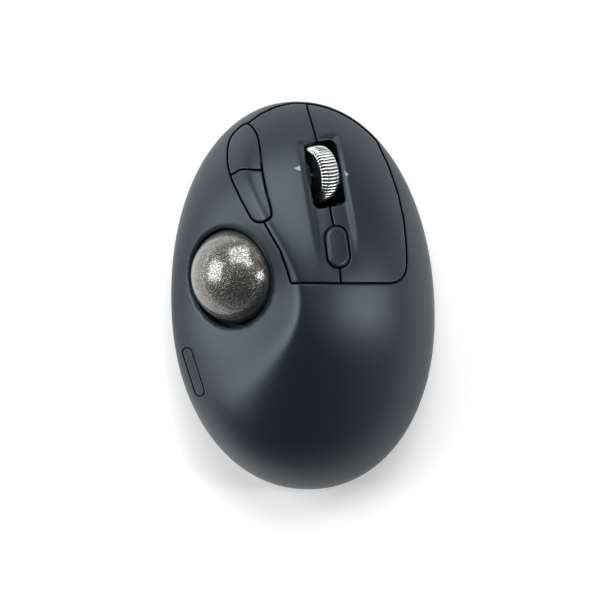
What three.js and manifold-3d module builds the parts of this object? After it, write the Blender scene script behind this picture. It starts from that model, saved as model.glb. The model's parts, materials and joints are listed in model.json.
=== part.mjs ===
// Ergonomic thumb trackball: a moulded palm shell over a base tray, two long keys,
// a tilting scroll wheel and a ball in a cup under the thumb.
// Millimetres. +Y points to the front (fingers), +X to the right, +Z up.
// The origin lies under the middle of the body, on the surface it stands on.
import * as THREE from 'three';
import { mergeVertices } from 'three/addons/utils/BufferGeometryUtils.js';
import Module from 'manifold-3d';

const wasm = await Module();
wasm.setup();

// ---------------------------------------------------------------- overall size
const LENGTH = 137;          // nose to heel
const WIDTH = 93;            // widest, across the rim
const CREST_Z = 47.5;        // height of the palm's highest point
const CREST_SPOT = [-9, -4]; // where that point lies
const RIM_Z = 9;             // height of the widest line
const WIDEST = -4.5;         // y of the widest line
const LEAN = -0.03;          // sideways drift of the outline per mm of length
const OUTLINE_POWER = 2.1;   // 2 is an ellipse, more is squarer

// ---------------------------------------------------------------- walls and gaps
const SKIN = 2.2;            // thickness of the upper mouldings
const SEAM = 0.6;            // visible gap between two mouldings
const CLEAR = 0.3;           // running gap between carved neighbours
const FOOT_H = 1.8;
const FLOOR_BOTTOM = 1.2;    // underside of the base tray
const FLOOR_TOP = 3.0;       // inside of the base tray
const TRAY_TOP = 4.8;
const SEAM_Z = 5.2;          // lower edge of the palm shell
const CHIN_TOP = 10.4;       // top of the band under the keys' noses
const KEY_BOTTOM = 11.4;     // lowest edge of the keys

// ---------------------------------------------------------------- ball
const BALL_R = 17;
const BALL_SUNK = 5.4;       // ball centre to opening plane, along the opening's axis
const BALL_MOUTH_R = 17.35;
const CUP_GAP = 0.6;
const CUP_WALL = 1.8;
const BEARING_R = 1.5;
const BEARING_ANGLE = 55;    // degrees between the cup's axis and each bearing
const EJECT_R = 4.6;         // hole for pushing the ball out from below

// ---------------------------------------------------------------- wheel
const WHEEL_R = 10.2;
const WHEEL_W = 6.8;
const WHEEL_PROUD = 3;       // height above the skin
const WHEEL_LEAN = 27;       // degrees, top towards the right
const WHEEL_YAW = 9.5;       // degrees, front towards the left
const AXLE_R = 1;
const SLOT_HALF_L = 11.7;
const SLOT_HALF_W = 5.6;
const SLOT_CORNER = 2.4;
const TROUGH_DEPTH = 1.2;    // shallow channel round the wheel and mode button

// ---------------------------------------------------------------- bought-in parts
const BOARD_T = 1.4;
const TACT = { side: 6, height: 3.2, bore: 1.6, plunger: 1.25, proud: 0.9 };
const MICRO = { width: 5.8, length: 12.8, height: 6.5, proud: 0.8 };
const PORT = { width: 8.94, height: 3.2, length: 7.35, wall: 0.3 };
const PORT_SUNK = 0.8;       // mouth of the port behind the nose
const PORT_GAP = 0.2;        // above and below the port in its opening
const BATTERY = { width: 34, length: 30, height: 7 };
const SCREW_HEAD_R = 2.7;
const SCREW_R = 1.2;

// ---------------------------------------------------------------- body surface
const halfW = WIDTH / 2;
const frontL = LENGTH / 2 - WIDEST;
const rearL = LENGTH / 2 + WIDEST;
const rad = Math.PI / 180;

// Places in plan are written for the drawn size and move with the body's real size.
const DRAWN_WIDTH = 93;
const DRAWN_LENGTH = 137;
const at = (x, y) => [x * WIDTH / DRAWN_WIDTH, y * LENGTH / DRAWN_LENGTH];
const follow = (points) => points.map(([x, y]) => at(x, y));

const ramp = (from, to, value) => {
  const t = Math.min(Math.max((value - from) / (to - from), 0), 1);
  return t * t * (3 - 2 * t);
};

function planRadius(x, y, inset = 0) {
  const across = Math.abs(x - LEAN * (y - WIDEST)) / (halfW - inset);
  const along = Math.abs(y - WIDEST) / ((y > WIDEST ? frontL : rearL) - inset);
  return (across ** OUTLINE_POWER + along ** OUTLINE_POWER) ** (1 / OUTLINE_POWER);
}

function planPoint(angle, share, inset = 0) {
  const c = Math.cos(angle);
  const s = Math.sin(angle);
  const spread = Math.abs(c) ** OUTLINE_POWER + Math.abs(s) ** OUTLINE_POWER;
  const reach = share / spread ** (1 / OUTLINE_POWER);
  const y = reach * s * ((s > 0 ? frontL : rearL) - inset);
  return [reach * c * (halfW - inset) + LEAN * y, y + WIDEST];
}

// The curved crest where the palm turns down into the thumb scoop.
const ridgeX = (y) => -1 - 21 * (1 - Math.exp(-(((y + 2) / 31) ** 2)));

function scoop(x, y) {
  const softness = 1.5 + 16 * ramp(-4, -50, y) + 3 * ramp(40, 60, y);
  const past = ridgeX(y) - x;
  const reach = (past + Math.hypot(past, softness)) / 2;
  const slope = 1.08 * ramp(-70, -22, y) * (1 - 0.3 * ramp(-10, 50, y));
  return slope * 36 * (1 - Math.exp(-reach / 36));
}

const wheelSpot = at(7.5, 42.1);
const modeSpot = at(11.9, 16.7);

function trough(x, y) {
  const dx = modeSpot[0] - wheelSpot[0];
  const dy = modeSpot[1] - wheelSpot[1];
  const run = Math.hypot(dx, dy);
  const along = ((x - wheelSpot[0]) * dx + (y - wheelSpot[1]) * dy) / run;
  const aside = ((x - wheelSpot[0]) * dy - (y - wheelSpot[1]) * dx) / run;
  const side = 1 - ramp(SLOT_HALF_W - 0.4, SLOT_HALF_W + 2.2, Math.abs(aside));
  const ends = ramp(-SLOT_HALF_L - 2.2, -SLOT_HALF_L, along) * (1 - ramp(run - 12, run + 12, along));
  return TROUGH_DEPTH * side * ends;
}

// Height of the top before it falls to the rim: the drawn surface, stretched with the body.
function crown(x, y) {
  const drawnX = x * DRAWN_WIDTH / WIDTH;
  const drawnY = y * DRAWN_LENGTH / LENGTH;
  const dx = drawnX - CREST_SPOT[0];
  const dy = drawnY - CREST_SPOT[1];
  const fall = dy > 0 ? 0.0057 : 0.0056;
  const roll = dx > 0 ? 0.009 : 0.0035 + 0.0055 * ramp(-20, -60, drawnY);
  return CREST_Z - fall * dy * dy - roll * dx * dx - scoop(drawnX, drawnY) - trough(x, y);
}

const edgeFall = (share) => Math.sqrt(1 - Math.min(share, 1) ** 10);

function skinZ(x, y) {
  return RIM_Z + (crown(x, y) - RIM_Z) * edgeFall(planRadius(x, y));
}

function skinNormal(x, y) {
  const e = 0.05;
  const gx = (skinZ(x + e, y) - skinZ(x - e, y)) / (2 * e);
  const gy = (skinZ(x, y + e) - skinZ(x, y - e)) / (2 * e);
  return new THREE.Vector3(-gx, -gy, 1).normalize();
}

// ---------------------------------------------------------------- solids
function solidOf(geometry, matrix) {
  const bare = geometry.clone();
  bare.deleteAttribute('normal');
  bare.deleteAttribute('uv');
  const merged = mergeVertices(bare, 1e-5);
  if (matrix) merged.applyMatrix4(matrix);
  return new wasm.Manifold(new wasm.Mesh({
    numProp: 3,
    vertProperties: new Float32Array(merged.attributes.position.array),
    triVerts: new Uint32Array(merged.index.array),
  }));
}

const shift = (x, y, z) => new THREE.Matrix4().makeTranslation(x, y, z);
const join = (...solids) => solids.reduce((sum, next) => sum.add(next));
const cut = (solid, ...tools) => tools.reduce((left, tool) => left.subtract(tool), solid);

function block(x0, x1, y0, y1, z0, z1, matrix) {
  const box = new THREE.BoxGeometry(x1 - x0, y1 - y0, z1 - z0);
  box.translate((x0 + x1) / 2, (y0 + y1) / 2, (z0 + z1) / 2);
  return solidOf(box, matrix);
}

// A round bar standing on (x, y) from z0 to z1.
function post(x, y, r, z0, z1, matrix, sides = 14) {
  const bar = new THREE.CylinderGeometry(r, r, z1 - z0, sides);
  bar.rotateX(Math.PI / 2);
  bar.translate(x, y, (z0 + z1) / 2);
  return solidOf(bar, matrix);
}

// A round bar between two points.
function bar(from, to, r, sides = 14) {
  const geometry = new THREE.CylinderGeometry(r, r, from.distanceTo(to), sides);
  const turn = new THREE.Quaternion().setFromUnitVectors(
    new THREE.Vector3(0, 1, 0), to.clone().sub(from).normalize());
  const middle = from.clone().add(to).multiplyScalar(0.5);
  return solidOf(geometry, new THREE.Matrix4().compose(middle, turn, new THREE.Vector3(1, 1, 1)));
}

function prism(loop, z0, z1, matrix) {
  const shape = new THREE.Shape(loop.map(([x, y]) => new THREE.Vector2(x, y)));
  const geometry = new THREE.ExtrudeGeometry(shape, { depth: z1 - z0, bevelEnabled: false });
  geometry.translate(0, 0, z0);
  return solidOf(geometry, matrix);
}

// A closed solid under the body surface: lowered by drop, pulled in by inset.
function bodySolid(drop, inset, bottom, spokes, rings) {
  const positions = [0, 0, 0];
  const place = (x, y, z) => positions.push(x, y, z) / 3 - 1;
  const height = (x, y, share) => RIM_Z + (crown(x, y) - drop - RIM_Z) * edgeFall(share);
  const [cx, cy] = planPoint(0, 0, inset);
  positions[0] = cx;
  positions[1] = cy;
  positions[2] = height(cx, cy, 0);
  for (let ring = 1; ring <= rings; ring += 1) {
    const share = Math.sin((ring / rings) * Math.PI / 2) ** 0.92;
    for (let spoke = 0; spoke < spokes; spoke += 1) {
      const [x, y] = planPoint((spoke / spokes) * 2 * Math.PI, share, inset);
      place(x, y, height(x, y, share));
    }
  }
  for (let spoke = 0; spoke < spokes; spoke += 1) {
    const [x, y] = planPoint((spoke / spokes) * 2 * Math.PI, 1, inset + 0.3);
    place(x, y, bottom);
  }
  const under = place(cx, cy, bottom);
  const faces = [];
  const vertex = (ring, spoke) => 1 + (ring - 1) * spokes + (spoke % spokes);
  for (let spoke = 0; spoke < spokes; spoke += 1) {
    faces.push(0, vertex(1, spoke), vertex(1, spoke + 1));
    for (let ring = 1; ring <= rings; ring += 1) {
      faces.push(vertex(ring, spoke), vertex(ring + 1, spoke), vertex(ring + 1, spoke + 1));
      faces.push(vertex(ring, spoke), vertex(ring + 1, spoke + 1), vertex(ring, spoke + 1));
    }
    faces.push(under, vertex(rings + 1, spoke + 1), vertex(rings + 1, spoke));
  }
  const geometry = new THREE.BufferGeometry();
  geometry.setAttribute('position', new THREE.Float32BufferAttribute(positions, 3));
  geometry.setIndex(faces);
  return solidOf(geometry);
}

// ---------------------------------------------------------------- plan outlines
// Grows (or, negative, shrinks) a closed counter-clockwise loop.
function grow(loop, amount) {
  return loop.map((point, i) => {
    const before = loop[(i + loop.length - 1) % loop.length];
    const after = loop[(i + 1) % loop.length];
    const a = new THREE.Vector2(point[0] - before[0], point[1] - before[1]).normalize();
    const b = new THREE.Vector2(after[0] - point[0], after[1] - point[1]).normalize();
    const out = new THREE.Vector2(a.y + b.y, -a.x - b.x).normalize();
    const stretch = Math.min(1 / Math.max(out.dot(new THREE.Vector2(a.y, -a.x)), 0.5), 1.6);
    return [point[0] + out.x * amount * stretch, point[1] + out.y * amount * stretch];
  });
}

function smooth(points, steps) {
  const curve = new THREE.CatmullRomCurve3(
    points.map(([x, y]) => new THREE.Vector3(x, y, 0)), true, 'centripetal');
  return curve.getSpacedPoints(steps).slice(0, -1).map((p) => [p.x, p.y]);
}

function roundedBox(halfX, halfY, corner, centre, yaw) {
  const loop = [];
  for (let quarter = 0; quarter < 4; quarter += 1) {
    const sx = quarter === 0 || quarter === 3 ? 1 : -1;
    const sy = quarter < 2 ? 1 : -1;
    for (let step = 0; step <= 4; step += 1) {
      const a = (quarter + step / 4) * Math.PI / 2;
      const x = sx * (halfX - corner) + corner * Math.cos(a);
      const y = sy * (halfY - corner) + corner * Math.sin(a);
      loop.push([
        centre[0] + x * Math.cos(yaw) - y * Math.sin(yaw),
        centre[1] + x * Math.sin(yaw) + y * Math.cos(yaw),
      ]);
    }
  }
  return loop;
}

const noseArc = [];
for (let step = 0; step <= 12; step += 1) {
  const [from, to] = [53.5, 92.5];
  noseArc.push(planPoint((from + (to - from) * step / 12) * rad, 0.988));
}
const KEYS = [
  ...follow([[13.1, 4.1], [30.2, 4.1], [32.6, 4.6], [34.6, 6.0], [35.8, 8.2], [36.2, 11]]),
  ...follow([[36.1, 17], [35.3, 26], [33.4, 35.3], [30.1, 45.3], [28, 49.8]]),
  ...noseArc,
  ...follow([[-9.6, 66.3], [-15.1, 63.6], [-19.4, 60.3], [-20, 50], [-17, 35], [-13.6, 25.3]]),
  ...follow([[-10.4, 19.6], [-7.8, 15.2], [-5.5, 8.7], [-4.2, 4.1]]),
];
const SPLIT = follow([
  [1.1, 75], [1.2, 67.4], [4.5, 55.1], [6, 48], [9.2, 31], [10.5, 24], [12.7, 9.6], [13.1, -2],
]);
const CLUSTER = smooth(follow([
  [-19.3, 60.1], [-16.2, 56.3], [-14.9, 50], [-14.2, 43.5], [-12.8, 36.5], [-11.1, 29.9],
  [-11.2, 26.9], [-14.2, 25.2], [-17.4, 26.1], [-20, 30.4], [-22.5, 35.3], [-25.4, 42.1],
  [-26.4, 48.1], [-25.7, 54.5], [-22.6, 58.6],
]).reverse(), 44);
const DIVIDER = follow([[-40, 39.5], [-25.4, 41.9], [-21.5, 43.7], [-14.2, 43.3], [0, 43.3]]);
const SLOT = roundedBox(SLOT_HALF_W, SLOT_HALF_L, SLOT_CORNER, wheelSpot, WHEEL_YAW * rad);
const MODE = roundedBox(3.85, 7.2, 3.8, modeSpot, 7 * rad);
const STATUS = roundedBox(1.65, 8.75, 1.6, at(-38.45, -26.9), 18 * rad);

const nudge = (line, dx, dy) => line.map(([x, y]) => [x + dx, y + dy]);
const rightOf = (line, gap) => [...nudge(line, gap, 0), at(93, -7), at(93, 82)];
const leftOf = (line, gap) => [...nudge(line, -gap, 0), at(-93, -7), at(-93, 82)].reverse();

// ---------------------------------------------------------------- shells
const outer = bodySolid(0, 0, SEAM_Z, 60, 12);
const raised = bodySolid(-0.5, 0, SEAM_Z, 60, 12);
const inner = bodySolid(SKIN, 2, 0, 44, 9);
const shellBlank = cut(outer, inner);
const tall = (loop, amount = 0, z0 = -5) => prism(amount ? grow(loop, amount) : loop, z0, 80);
const half = SEAM / 2;

const mouthSpot = at(-25.2, 6.2);
const mouthAxis = skinNormal(...mouthSpot);
const mouthPoint = new THREE.Vector3(...mouthSpot, skinZ(...mouthSpot));
const ballCentre = mouthPoint.clone().addScaledVector(mouthAxis, -BALL_SUNK);
const alongMouth = (distance) => ballCentre.clone().addScaledVector(mouthAxis, distance);
const cupInner = BALL_R + CUP_GAP;
const cupOuter = cupInner + CUP_WALL;

const shellScrews = follow([[-28, -30], [30, -30], [37, -3], [-32, 36]]);
const portX = planPoint(91.5 * rad, 1)[0];
const portFront = planPoint(91.5 * rad, 1)[1] - PORT_SUNK;
const portHalf = PORT.width / 2;
const boardZ = 4.6;
const boardTop = boardZ + BOARD_T;

function makeTopShell() {
  const bosses = shellScrews.map(([x, y]) => cut(
    post(x, y, 3.2, SEAM_Z, 60).intersect(bodySolid(1, 1.5, 0, 40, 9)),
    post(x, y, SCREW_R + CLEAR, 0, 14)));
  return cut(
    join(cut(
      shellBlank,
      tall(KEYS, half, CHIN_TOP),
      tall(CLUSTER, half),
      tall(STATUS, CLEAR),
      bar(ballCentre, alongMouth(40), BALL_MOUTH_R, 40),
    ), ...bosses),
    block(
      portX - portHalf - CLEAR, portX + portHalf + CLEAR,
      portFront - PORT.length - CLEAR, portFront + 6,
      boardTop - PORT_GAP, boardTop + PORT.height + PORT_GAP));
}

// ---------------------------------------------------------------- key hinges
const hingeY = at(0, -8)[1];
const keyRearY = at(0, 4.1)[1];
const keyArms = {
  left: { x: at(2, 0)[0], half: 4 },
  right: { x: at(19, 0)[0], half: 4 },
};
const BEAD_R = 1.2;
const ARM_T = 1.5;
for (const arm of Object.values(keyArms)) {
  const edges = [-1, 1].flatMap((s) => [hingeY - 2, keyRearY].map((y) => skinZ(arm.x + s * arm.half, y)));
  arm.top = Math.min(...edges) - SKIN - 0.8;
  arm.z = arm.top - ARM_T - 0.5;
}

function keyArm(arm) {
  const [x0, x1] = [arm.x - arm.half, arm.x + arm.half];
  const plate = block(x0, x1, hingeY - BEAD_R, keyRearY + 5, arm.top - ARM_T, arm.top);
  const riser = block(x0, x1, keyRearY + 1, keyRearY + 5, arm.top - ARM_T, 60)
    .intersect(bodySolid(1, 1.5, 0, 40, 9));
  const bead = bar(new THREE.Vector3(x0, hingeY, arm.z), new THREE.Vector3(x1, hingeY, arm.z), BEAD_R);
  return join(plate, riser, bead);
}

// A rib from the skin down to just above a switch plunger.
function rib(x, y, z, r = 1) {
  return post(x, y, r, z, 60, undefined, 12).intersect(bodySolid(1, 1.5, 0, 40, 9));
}

const microTop = boardTop + MICRO.height + MICRO.proud;
const leftMicro = at(-12.9, 54.4);
const rightMicro = at(17, 46.4);
const microPress = 2.6;      // plunger's offset from the micro switch's middle

function makeKey(side) {
  const share = side === 'left' ? leftOf(SPLIT, half) : rightOf(SPLIT, half);
  const spot = side === 'left' ? leftMicro : rightMicro;
  const keySkin = cut(
    shellBlank.intersect(tall(KEYS, -half, KEY_BOTTOM)).intersect(tall(share)),
    tall(CLUSTER, half),
    tall(SLOT),
    tall(MODE, 0.35));
  return join(keySkin, keyArm(keyArms[side]), rib(spot[0], spot[1] + microPress, microTop + CLEAR));
}

// ---------------------------------------------------------------- side buttons
const sideBoardZ = 15.6;
const tactTop = (boardSurface) => boardSurface + TACT.height + TACT.proud;
const sideButtons = {
  forward: { pivot: at(-13.6, 47.8), press: at(-19, 47.5), reach: -17.8 },
  back: { pivot: at(-11, 35), press: at(-18.5, 35), reach: -15.4 },
};
const LUG_DROP = 3.1;
const LUG_T = 1.5;
const SIDE_BEAD_R = 0.9;
for (const button of Object.values(sideButtons)) {
  const [x, y] = button.pivot;
  const ends = [1.6, -1.6].map(
    (dy) => new THREE.Vector3(x - dy * 0.15, y + dy, skinZ(x - dy * 0.15, y + dy)));
  button.axis = ends[1].clone().sub(ends[0]).normalize();
  button.centre = ends[0].add(ends[1]).multiplyScalar(0.5);
  button.centre.z -= LUG_DROP + LUG_T;
}

const underLugs = bodySolid(LUG_DROP + LUG_T + 0.4, 3.4, 0, 44, 11);
const lugLayer = cut(bodySolid(LUG_DROP, 2, 0, 44, 11), bodySolid(LUG_DROP + LUG_T, 3.4, -1, 44, 11));
const rootLayer = cut(bodySolid(1, 1, 0, 44, 11), bodySolid(LUG_DROP + LUG_T, 3.4, -1, 44, 11));

function sideAxis(button, reach, r) {
  const from = button.centre.clone().addScaledVector(button.axis, -reach);
  const to = button.centre.clone().addScaledVector(button.axis, reach);
  return bar(from, to, r, 12);
}

function makeSideButton(name) {
  const button = sideButtons[name];
  const [x, y] = button.pivot;
  const share = name === 'forward'
    ? [...nudge(DIVIDER, 0, half), at(46, 90), at(-46, 90)]
    : [...nudge(DIVIDER, 0, -half), at(46, 0), at(-46, 0)].reverse();
  const cap = cut(raised, inner)
    .intersect(tall(CLUSTER, -half))
    .intersect(prism(share, -5, 80));
  const reachX = at(button.reach, 0)[0];
  const lug = lugLayer.intersect(block(reachX, x + 1, y - 1.5, y + 1.5, -5, 80));
  const root = rootLayer.intersect(block(reachX, reachX + 1.8, y - 1.5, y + 1.5, -5, 80));
  const pressRib = rib(...button.press, tactTop(sideBoardZ + BOARD_T) + CLEAR);
  return join(cap, lug, root, sideAxis(button, 1.5, SIDE_BEAD_R), pressRib);
}

function makeModeButton(stemBottom) {
  const cap = cut(bodySolid(-0.8, 0, SEAM_Z, 48, 12), bodySolid(3.2, 2, 0, 48, 12)).intersect(tall(MODE));
  const flange = cut(bodySolid(3, 2, 0, 48, 12), bodySolid(3.9, 3, -1, 48, 12)).intersect(tall(MODE, 0.9));
  const stem = post(...modeSpot, 1.8, stemBottom, 60).intersect(bodySolid(1, 1.5, 0, 40, 9));
  return join(cap, flange, stem);
}

// ---------------------------------------------------------------- inner frames
const MID_T = 1.8;
const MID_LEG_R = 2.3;
const midX = [ballCentre.x + cupOuter + 1.4, at(24, 0)[0]];
const midY = [at(0, -13)[1], at(0, 25)[1]];
const midTop = skinZ(midX[1], midY[1]) - SKIN - 1.4;
const midLegs = [[0.14, 0.06], [0.88, 0.06], [0.88, 0.9], [0.14, 0.9]].map(([u, v]) => [
  midX[0] + u * (midX[1] - midX[0]), midY[0] + v * (midY[1] - midY[0])]);

function makeMidFrame() {
  const plate = block(...midX, ...midY, midTop - MID_T, midTop);
  const legs = midLegs.map(([x, y]) => post(x, y, MID_LEG_R, FLOOR_TOP, midTop - 0.5));
  const towers = Object.values(keyArms).map((arm) => {
    const [x0, x1] = [arm.x - arm.half, arm.x + arm.half];
    const tower = block(x0, x1, hingeY - 2.6, hingeY + 2.6, midTop - 0.5, arm.z);
    const ends = [-20, 20].map((dx) => new THREE.Vector3(arm.x + dx, hingeY, arm.z));
    return cut(tower, bar(...ends, BEAD_R + CLEAR));
  });
  return join(plate, ...legs, ...towers);
}

const modeBoard = { x: [modeSpot[0] - 6, modeSpot[0] + 6], y: [modeSpot[1] - 6.5, modeSpot[1] + 6.5] };

const boardLeft = at(-20, 0)[0];
const SIDE_LEG_R = 2.1;
const sidePlate = {
  x: [at(-24, 0)[0], at(-15.6, 0)[0]],
  y: [at(0, 30.5)[1], at(0, 52)[1]],
};

function makeSideBracket() {
  const plate = block(...sidePlate.x, ...sidePlate.y, sideBoardZ - MID_T, sideBoardZ);
  const legs = [sidePlate.y[0] + 2.2, sidePlate.y[1] - 2.2].map(
    (y) => post(boardLeft - SIDE_LEG_R - 0.5, y, SIDE_LEG_R, FLOOR_TOP, sideBoardZ - 0.5));
  const pillars = Object.values(sideButtons).map((button) => {
    const [x, y] = button.pivot;
    const column = join(
      block(x - 1.5, x + 1.4, y - 1.5, y + 1.5, sideBoardZ - MID_T, button.centre.z + 0.2),
      block(sidePlate.x[1] - 1, x + 1.4, y - 1.5, y + 1.5, sideBoardZ - MID_T, sideBoardZ));
    return cut(column, sideAxis(button, 6, SIDE_BEAD_R + CLEAR)).intersect(underLugs);
  });
  return join(plate, ...legs, ...pillars);
}

// ---------------------------------------------------------------- ball cup
const cupUp = new THREE.Vector3(0, 0, 1).addScaledVector(mouthAxis, -mouthAxis.z).normalize();
const cupSide = new THREE.Vector3().crossVectors(mouthAxis, cupUp);

// A direction at an angle from the cup's bottom, turned about its axis.
function cupDirection(fromBottom, turn) {
  const [a, t] = [fromBottom * rad, turn * rad];
  return mouthAxis.clone().multiplyScalar(-Math.cos(a))
    .addScaledVector(cupUp, Math.sin(a) * Math.cos(t))
    .addScaledVector(cupSide, Math.sin(a) * Math.sin(t));
}
const fromBall = (direction, distance) => ballCentre.clone().addScaledVector(direction, distance);
const bearingWays = [0, 120, 240].map((turn) => cupDirection(BEARING_ANGLE, turn));
const bearingReach = BALL_R + BEARING_R + CLEAR;
const sensorWay = cupDirection(22, 0);

function makeBallSocket() {
  const globe = (r) => solidOf(new THREE.SphereGeometry(r, 28, 18), shift(...ballCentre));
  const standTop = ballCentre.z - cupOuter + 3;
  const lid = bar(alongMouth(1), alongMouth(60), 60, 12);
  const holders = bearingWays.map(
    (way) => bar(fromBall(way, cupInner + 0.4), fromBall(way, cupOuter + 1.8), 2.9));
  const bearingBores = bearingWays.map(
    (way) => bar(fromBall(way, 10), fromBall(way, bearingReach + BEARING_R + CLEAR), BEARING_R + CLEAR));
  const sensorHood = bar(fromBall(sensorWay, cupInner + 0.4), fromBall(sensorWay, 21.5), 6.2, 24);
  const stand = post(ballCentre.x, ballCentre.y, EJECT_R + 2.4, FLOOR_TOP, standTop, undefined, 18);
  return cut(
    join(globe(cupOuter), ...holders, sensorHood, stand),
    globe(cupInner),
    lid,
    ...bearingBores,
    bar(fromBall(sensorWay, 10), fromBall(sensorWay, 40), 2.9),
    bar(fromBall(sensorWay, 19.6), fromBall(sensorWay, 40), 5.0, 24),
    post(ballCentre.x, ballCentre.y, EJECT_R, 0, ballCentre.z - 8, undefined, 18));
}

// ---------------------------------------------------------------- base tray
const footSpots = follow([[-20, 47], [24, 40], [-33, -12], [33, -12], [2, -54]]);
const FOOT_R = 4.5;
const pairSpot = at(13, 38);
const POWER_TRAVEL = 2;
const batterySpot = [shellScrews[1][0] - BATTERY.width / 2 - 8, at(0, -37)[1]];
const boardScrews = follow([[-16.5, 31], [13, 31]]);
const powerSpot = [boardScrews[1][0] + 7, boardScrews[1][1]];

function trayBlank(insetTop, insetBottom, z0, z1) {
  const spokes = 48;
  const positions = [];
  for (const [inset, z] of [[insetBottom, z0], [insetTop, z1]]) {
    for (let spoke = 0; spoke < spokes; spoke += 1) {
      positions.push(...planPoint((spoke / spokes) * 2 * Math.PI, 1, inset), z);
    }
  }
  const [cx, cy] = planPoint(0, 0);
  positions.push(cx, cy, z0, cx, cy, z1);
  const faces = [];
  for (let i = 0; i < spokes; i += 1) {
    const j = (i + 1) % spokes;
    faces.push(i, j, spokes + j, i, spokes + j, spokes + i);
    faces.push(2 * spokes, j, i, 2 * spokes + 1, spokes + i, spokes + j);
  }
  const geometry = new THREE.BufferGeometry();
  geometry.setAttribute('position', new THREE.Float32BufferAttribute(positions, 3));
  geometry.setIndex(faces);
  return solidOf(geometry);
}

function makeBase() {
  const tray = cut(trayBlank(0.5, 3, FLOOR_BOTTOM, TRAY_TOP), trayBlank(3.4, 3.8, FLOOR_TOP, TRAY_TOP + 1));
  const screwBosses = shellScrews.map(([x, y]) => post(x, y, 4.2, FLOOR_TOP - 0.5, TRAY_TOP));
  const standoffs = boardScrews.map(([x, y]) => post(x, y, 2.2, FLOOR_TOP - 0.5, boardZ));
  const [bx, by] = batterySpot;
  const [bw, bl] = [BATTERY.width / 2 + 1.1, BATTERY.length / 2 + 1.1];
  const fence = [-1, 1].flatMap((s) => [
    block(bx + s * bw - 0.7, bx + s * bw + 0.7, by - 8, by + 8, FLOOR_TOP - 0.5, FLOOR_TOP + 3),
    block(bx - 8, bx + 8, by + s * bl - 0.7, by + s * bl + 0.7, FLOOR_TOP - 0.5, FLOOR_TOP + 3),
  ]);
  const [px, py] = powerSpot;
  const slideX = 2 + POWER_TRAVEL / 2 + CLEAR;
  return cut(
    join(tray, ...screwBosses, ...standoffs, ...fence),
    ...shellScrews.map(([x, y]) => post(x, y, SCREW_HEAD_R + 0.4, 0, FLOOR_TOP + 0.6)),
    ...shellScrews.map(([x, y]) => post(x, y, SCREW_R + CLEAR, 0, 9)),
    ...boardScrews.map(([x, y]) => post(x, y, 0.9 + CLEAR, FLOOR_TOP + 0.3, 9)),
    ...footSpots.map(([x, y]) => post(x, y, FOOT_R + CLEAR, 0, FOOT_H, undefined, 18)),
    block(px - slideX, px + slideX, py - 1.6 - CLEAR, py + 1.6 + CLEAR, 0, 4),
    post(...pairSpot, 2 + CLEAR, 0, 4),
    post(ballCentre.x, ballCentre.y, EJECT_R, 0, 9, undefined, 18));
}

// ---------------------------------------------------------------- wheel assembly
// Local frame: X along the axle to the right, Y forward, Z towards the wheel's top.
const wheelTurn = new THREE.Euler(0, WHEEL_LEAN * rad, WHEEL_YAW * rad, 'ZYX');
const wheelUp = new THREE.Vector3(0, 0, 1).applyEuler(wheelTurn);
const wheelTopSpot = [wheelSpot[0] + 2.4, wheelSpot[1] + 0.8];
const wheelCentre = new THREE.Vector3(...wheelTopSpot, skinZ(...wheelTopSpot) + WHEEL_PROUD)
  .addScaledVector(wheelUp, -WHEEL_R);
const wheelFrame = new THREE.Matrix4().compose(
  wheelCentre, new THREE.Quaternion().setFromEuler(wheelTurn), new THREE.Vector3(1, 1, 1));
const PIVOT_Z = -7;          // the tilt axis, below the axle
const CHEEK_X = WHEEL_W / 2 + 0.5;
const CHEEK_T = 1.3;
const YOKE_END = WHEEL_R + 0.7;
const END_T = 1.4;
const RING_TOP = -9;
const RING_T = 1.6;
const SHELF_TOP = RING_TOP - RING_T - 4;
const GUIDE_Y = YOKE_END + END_T + 1.2;
const GUIDE_R = 1.1;
const springY = GUIDE_Y - 0.2;
const BRACKET_LEG_R = 1.5;
const LEG_GAP = 0.7;         // round a leg where it passes the board
const legY = GUIDE_Y - 4;
const bracketLegs = [[-4, -legY], [-4, legY], [5, -legY], [5, legY]].map(
  ([x, y]) => new THREE.Vector3(x, y, SHELF_TOP - 0.8).applyMatrix4(wheelFrame));
const rodX = (r, x0, x1, y = 0, z = 0, sides = 14) => bar(
  new THREE.Vector3(x0, y, z), new THREE.Vector3(x1, y, z), r, sides);
const rodY = (r, y0, y1, x = 0, z = 0, sides = 16) => bar(
  new THREE.Vector3(x, y0, z), new THREE.Vector3(x, y1, z), r, sides);

function lathe(profile, sides) {
  const geometry = new THREE.LatheGeometry(profile.map(([r, h]) => new THREE.Vector2(r, h)), sides);
  geometry.rotateZ(-Math.PI / 2);
  return geometry;
}

function wheelTyre() {
  const w = WHEEL_W / 2;
  const inside = WHEEL_R - 2.6;
  return solidOf(lathe([
    [inside, -w + 0.3], [WHEEL_R - 1, -w], [WHEEL_R - 0.2, -w + 0.8], [WHEEL_R, 0],
    [WHEEL_R - 0.2, w - 0.8], [WHEEL_R - 1, w], [inside, w - 0.3], [inside, -w + 0.3],
  ], 32));
}

function wheelHub() {
  const w = WHEEL_W / 2 - 0.5;
  return cut(rodX(WHEEL_R - 2.6 - CLEAR, -w, w, 0, 0, 24), rodX(AXLE_R + CLEAR, -w - 1, w + 1));
}

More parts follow.
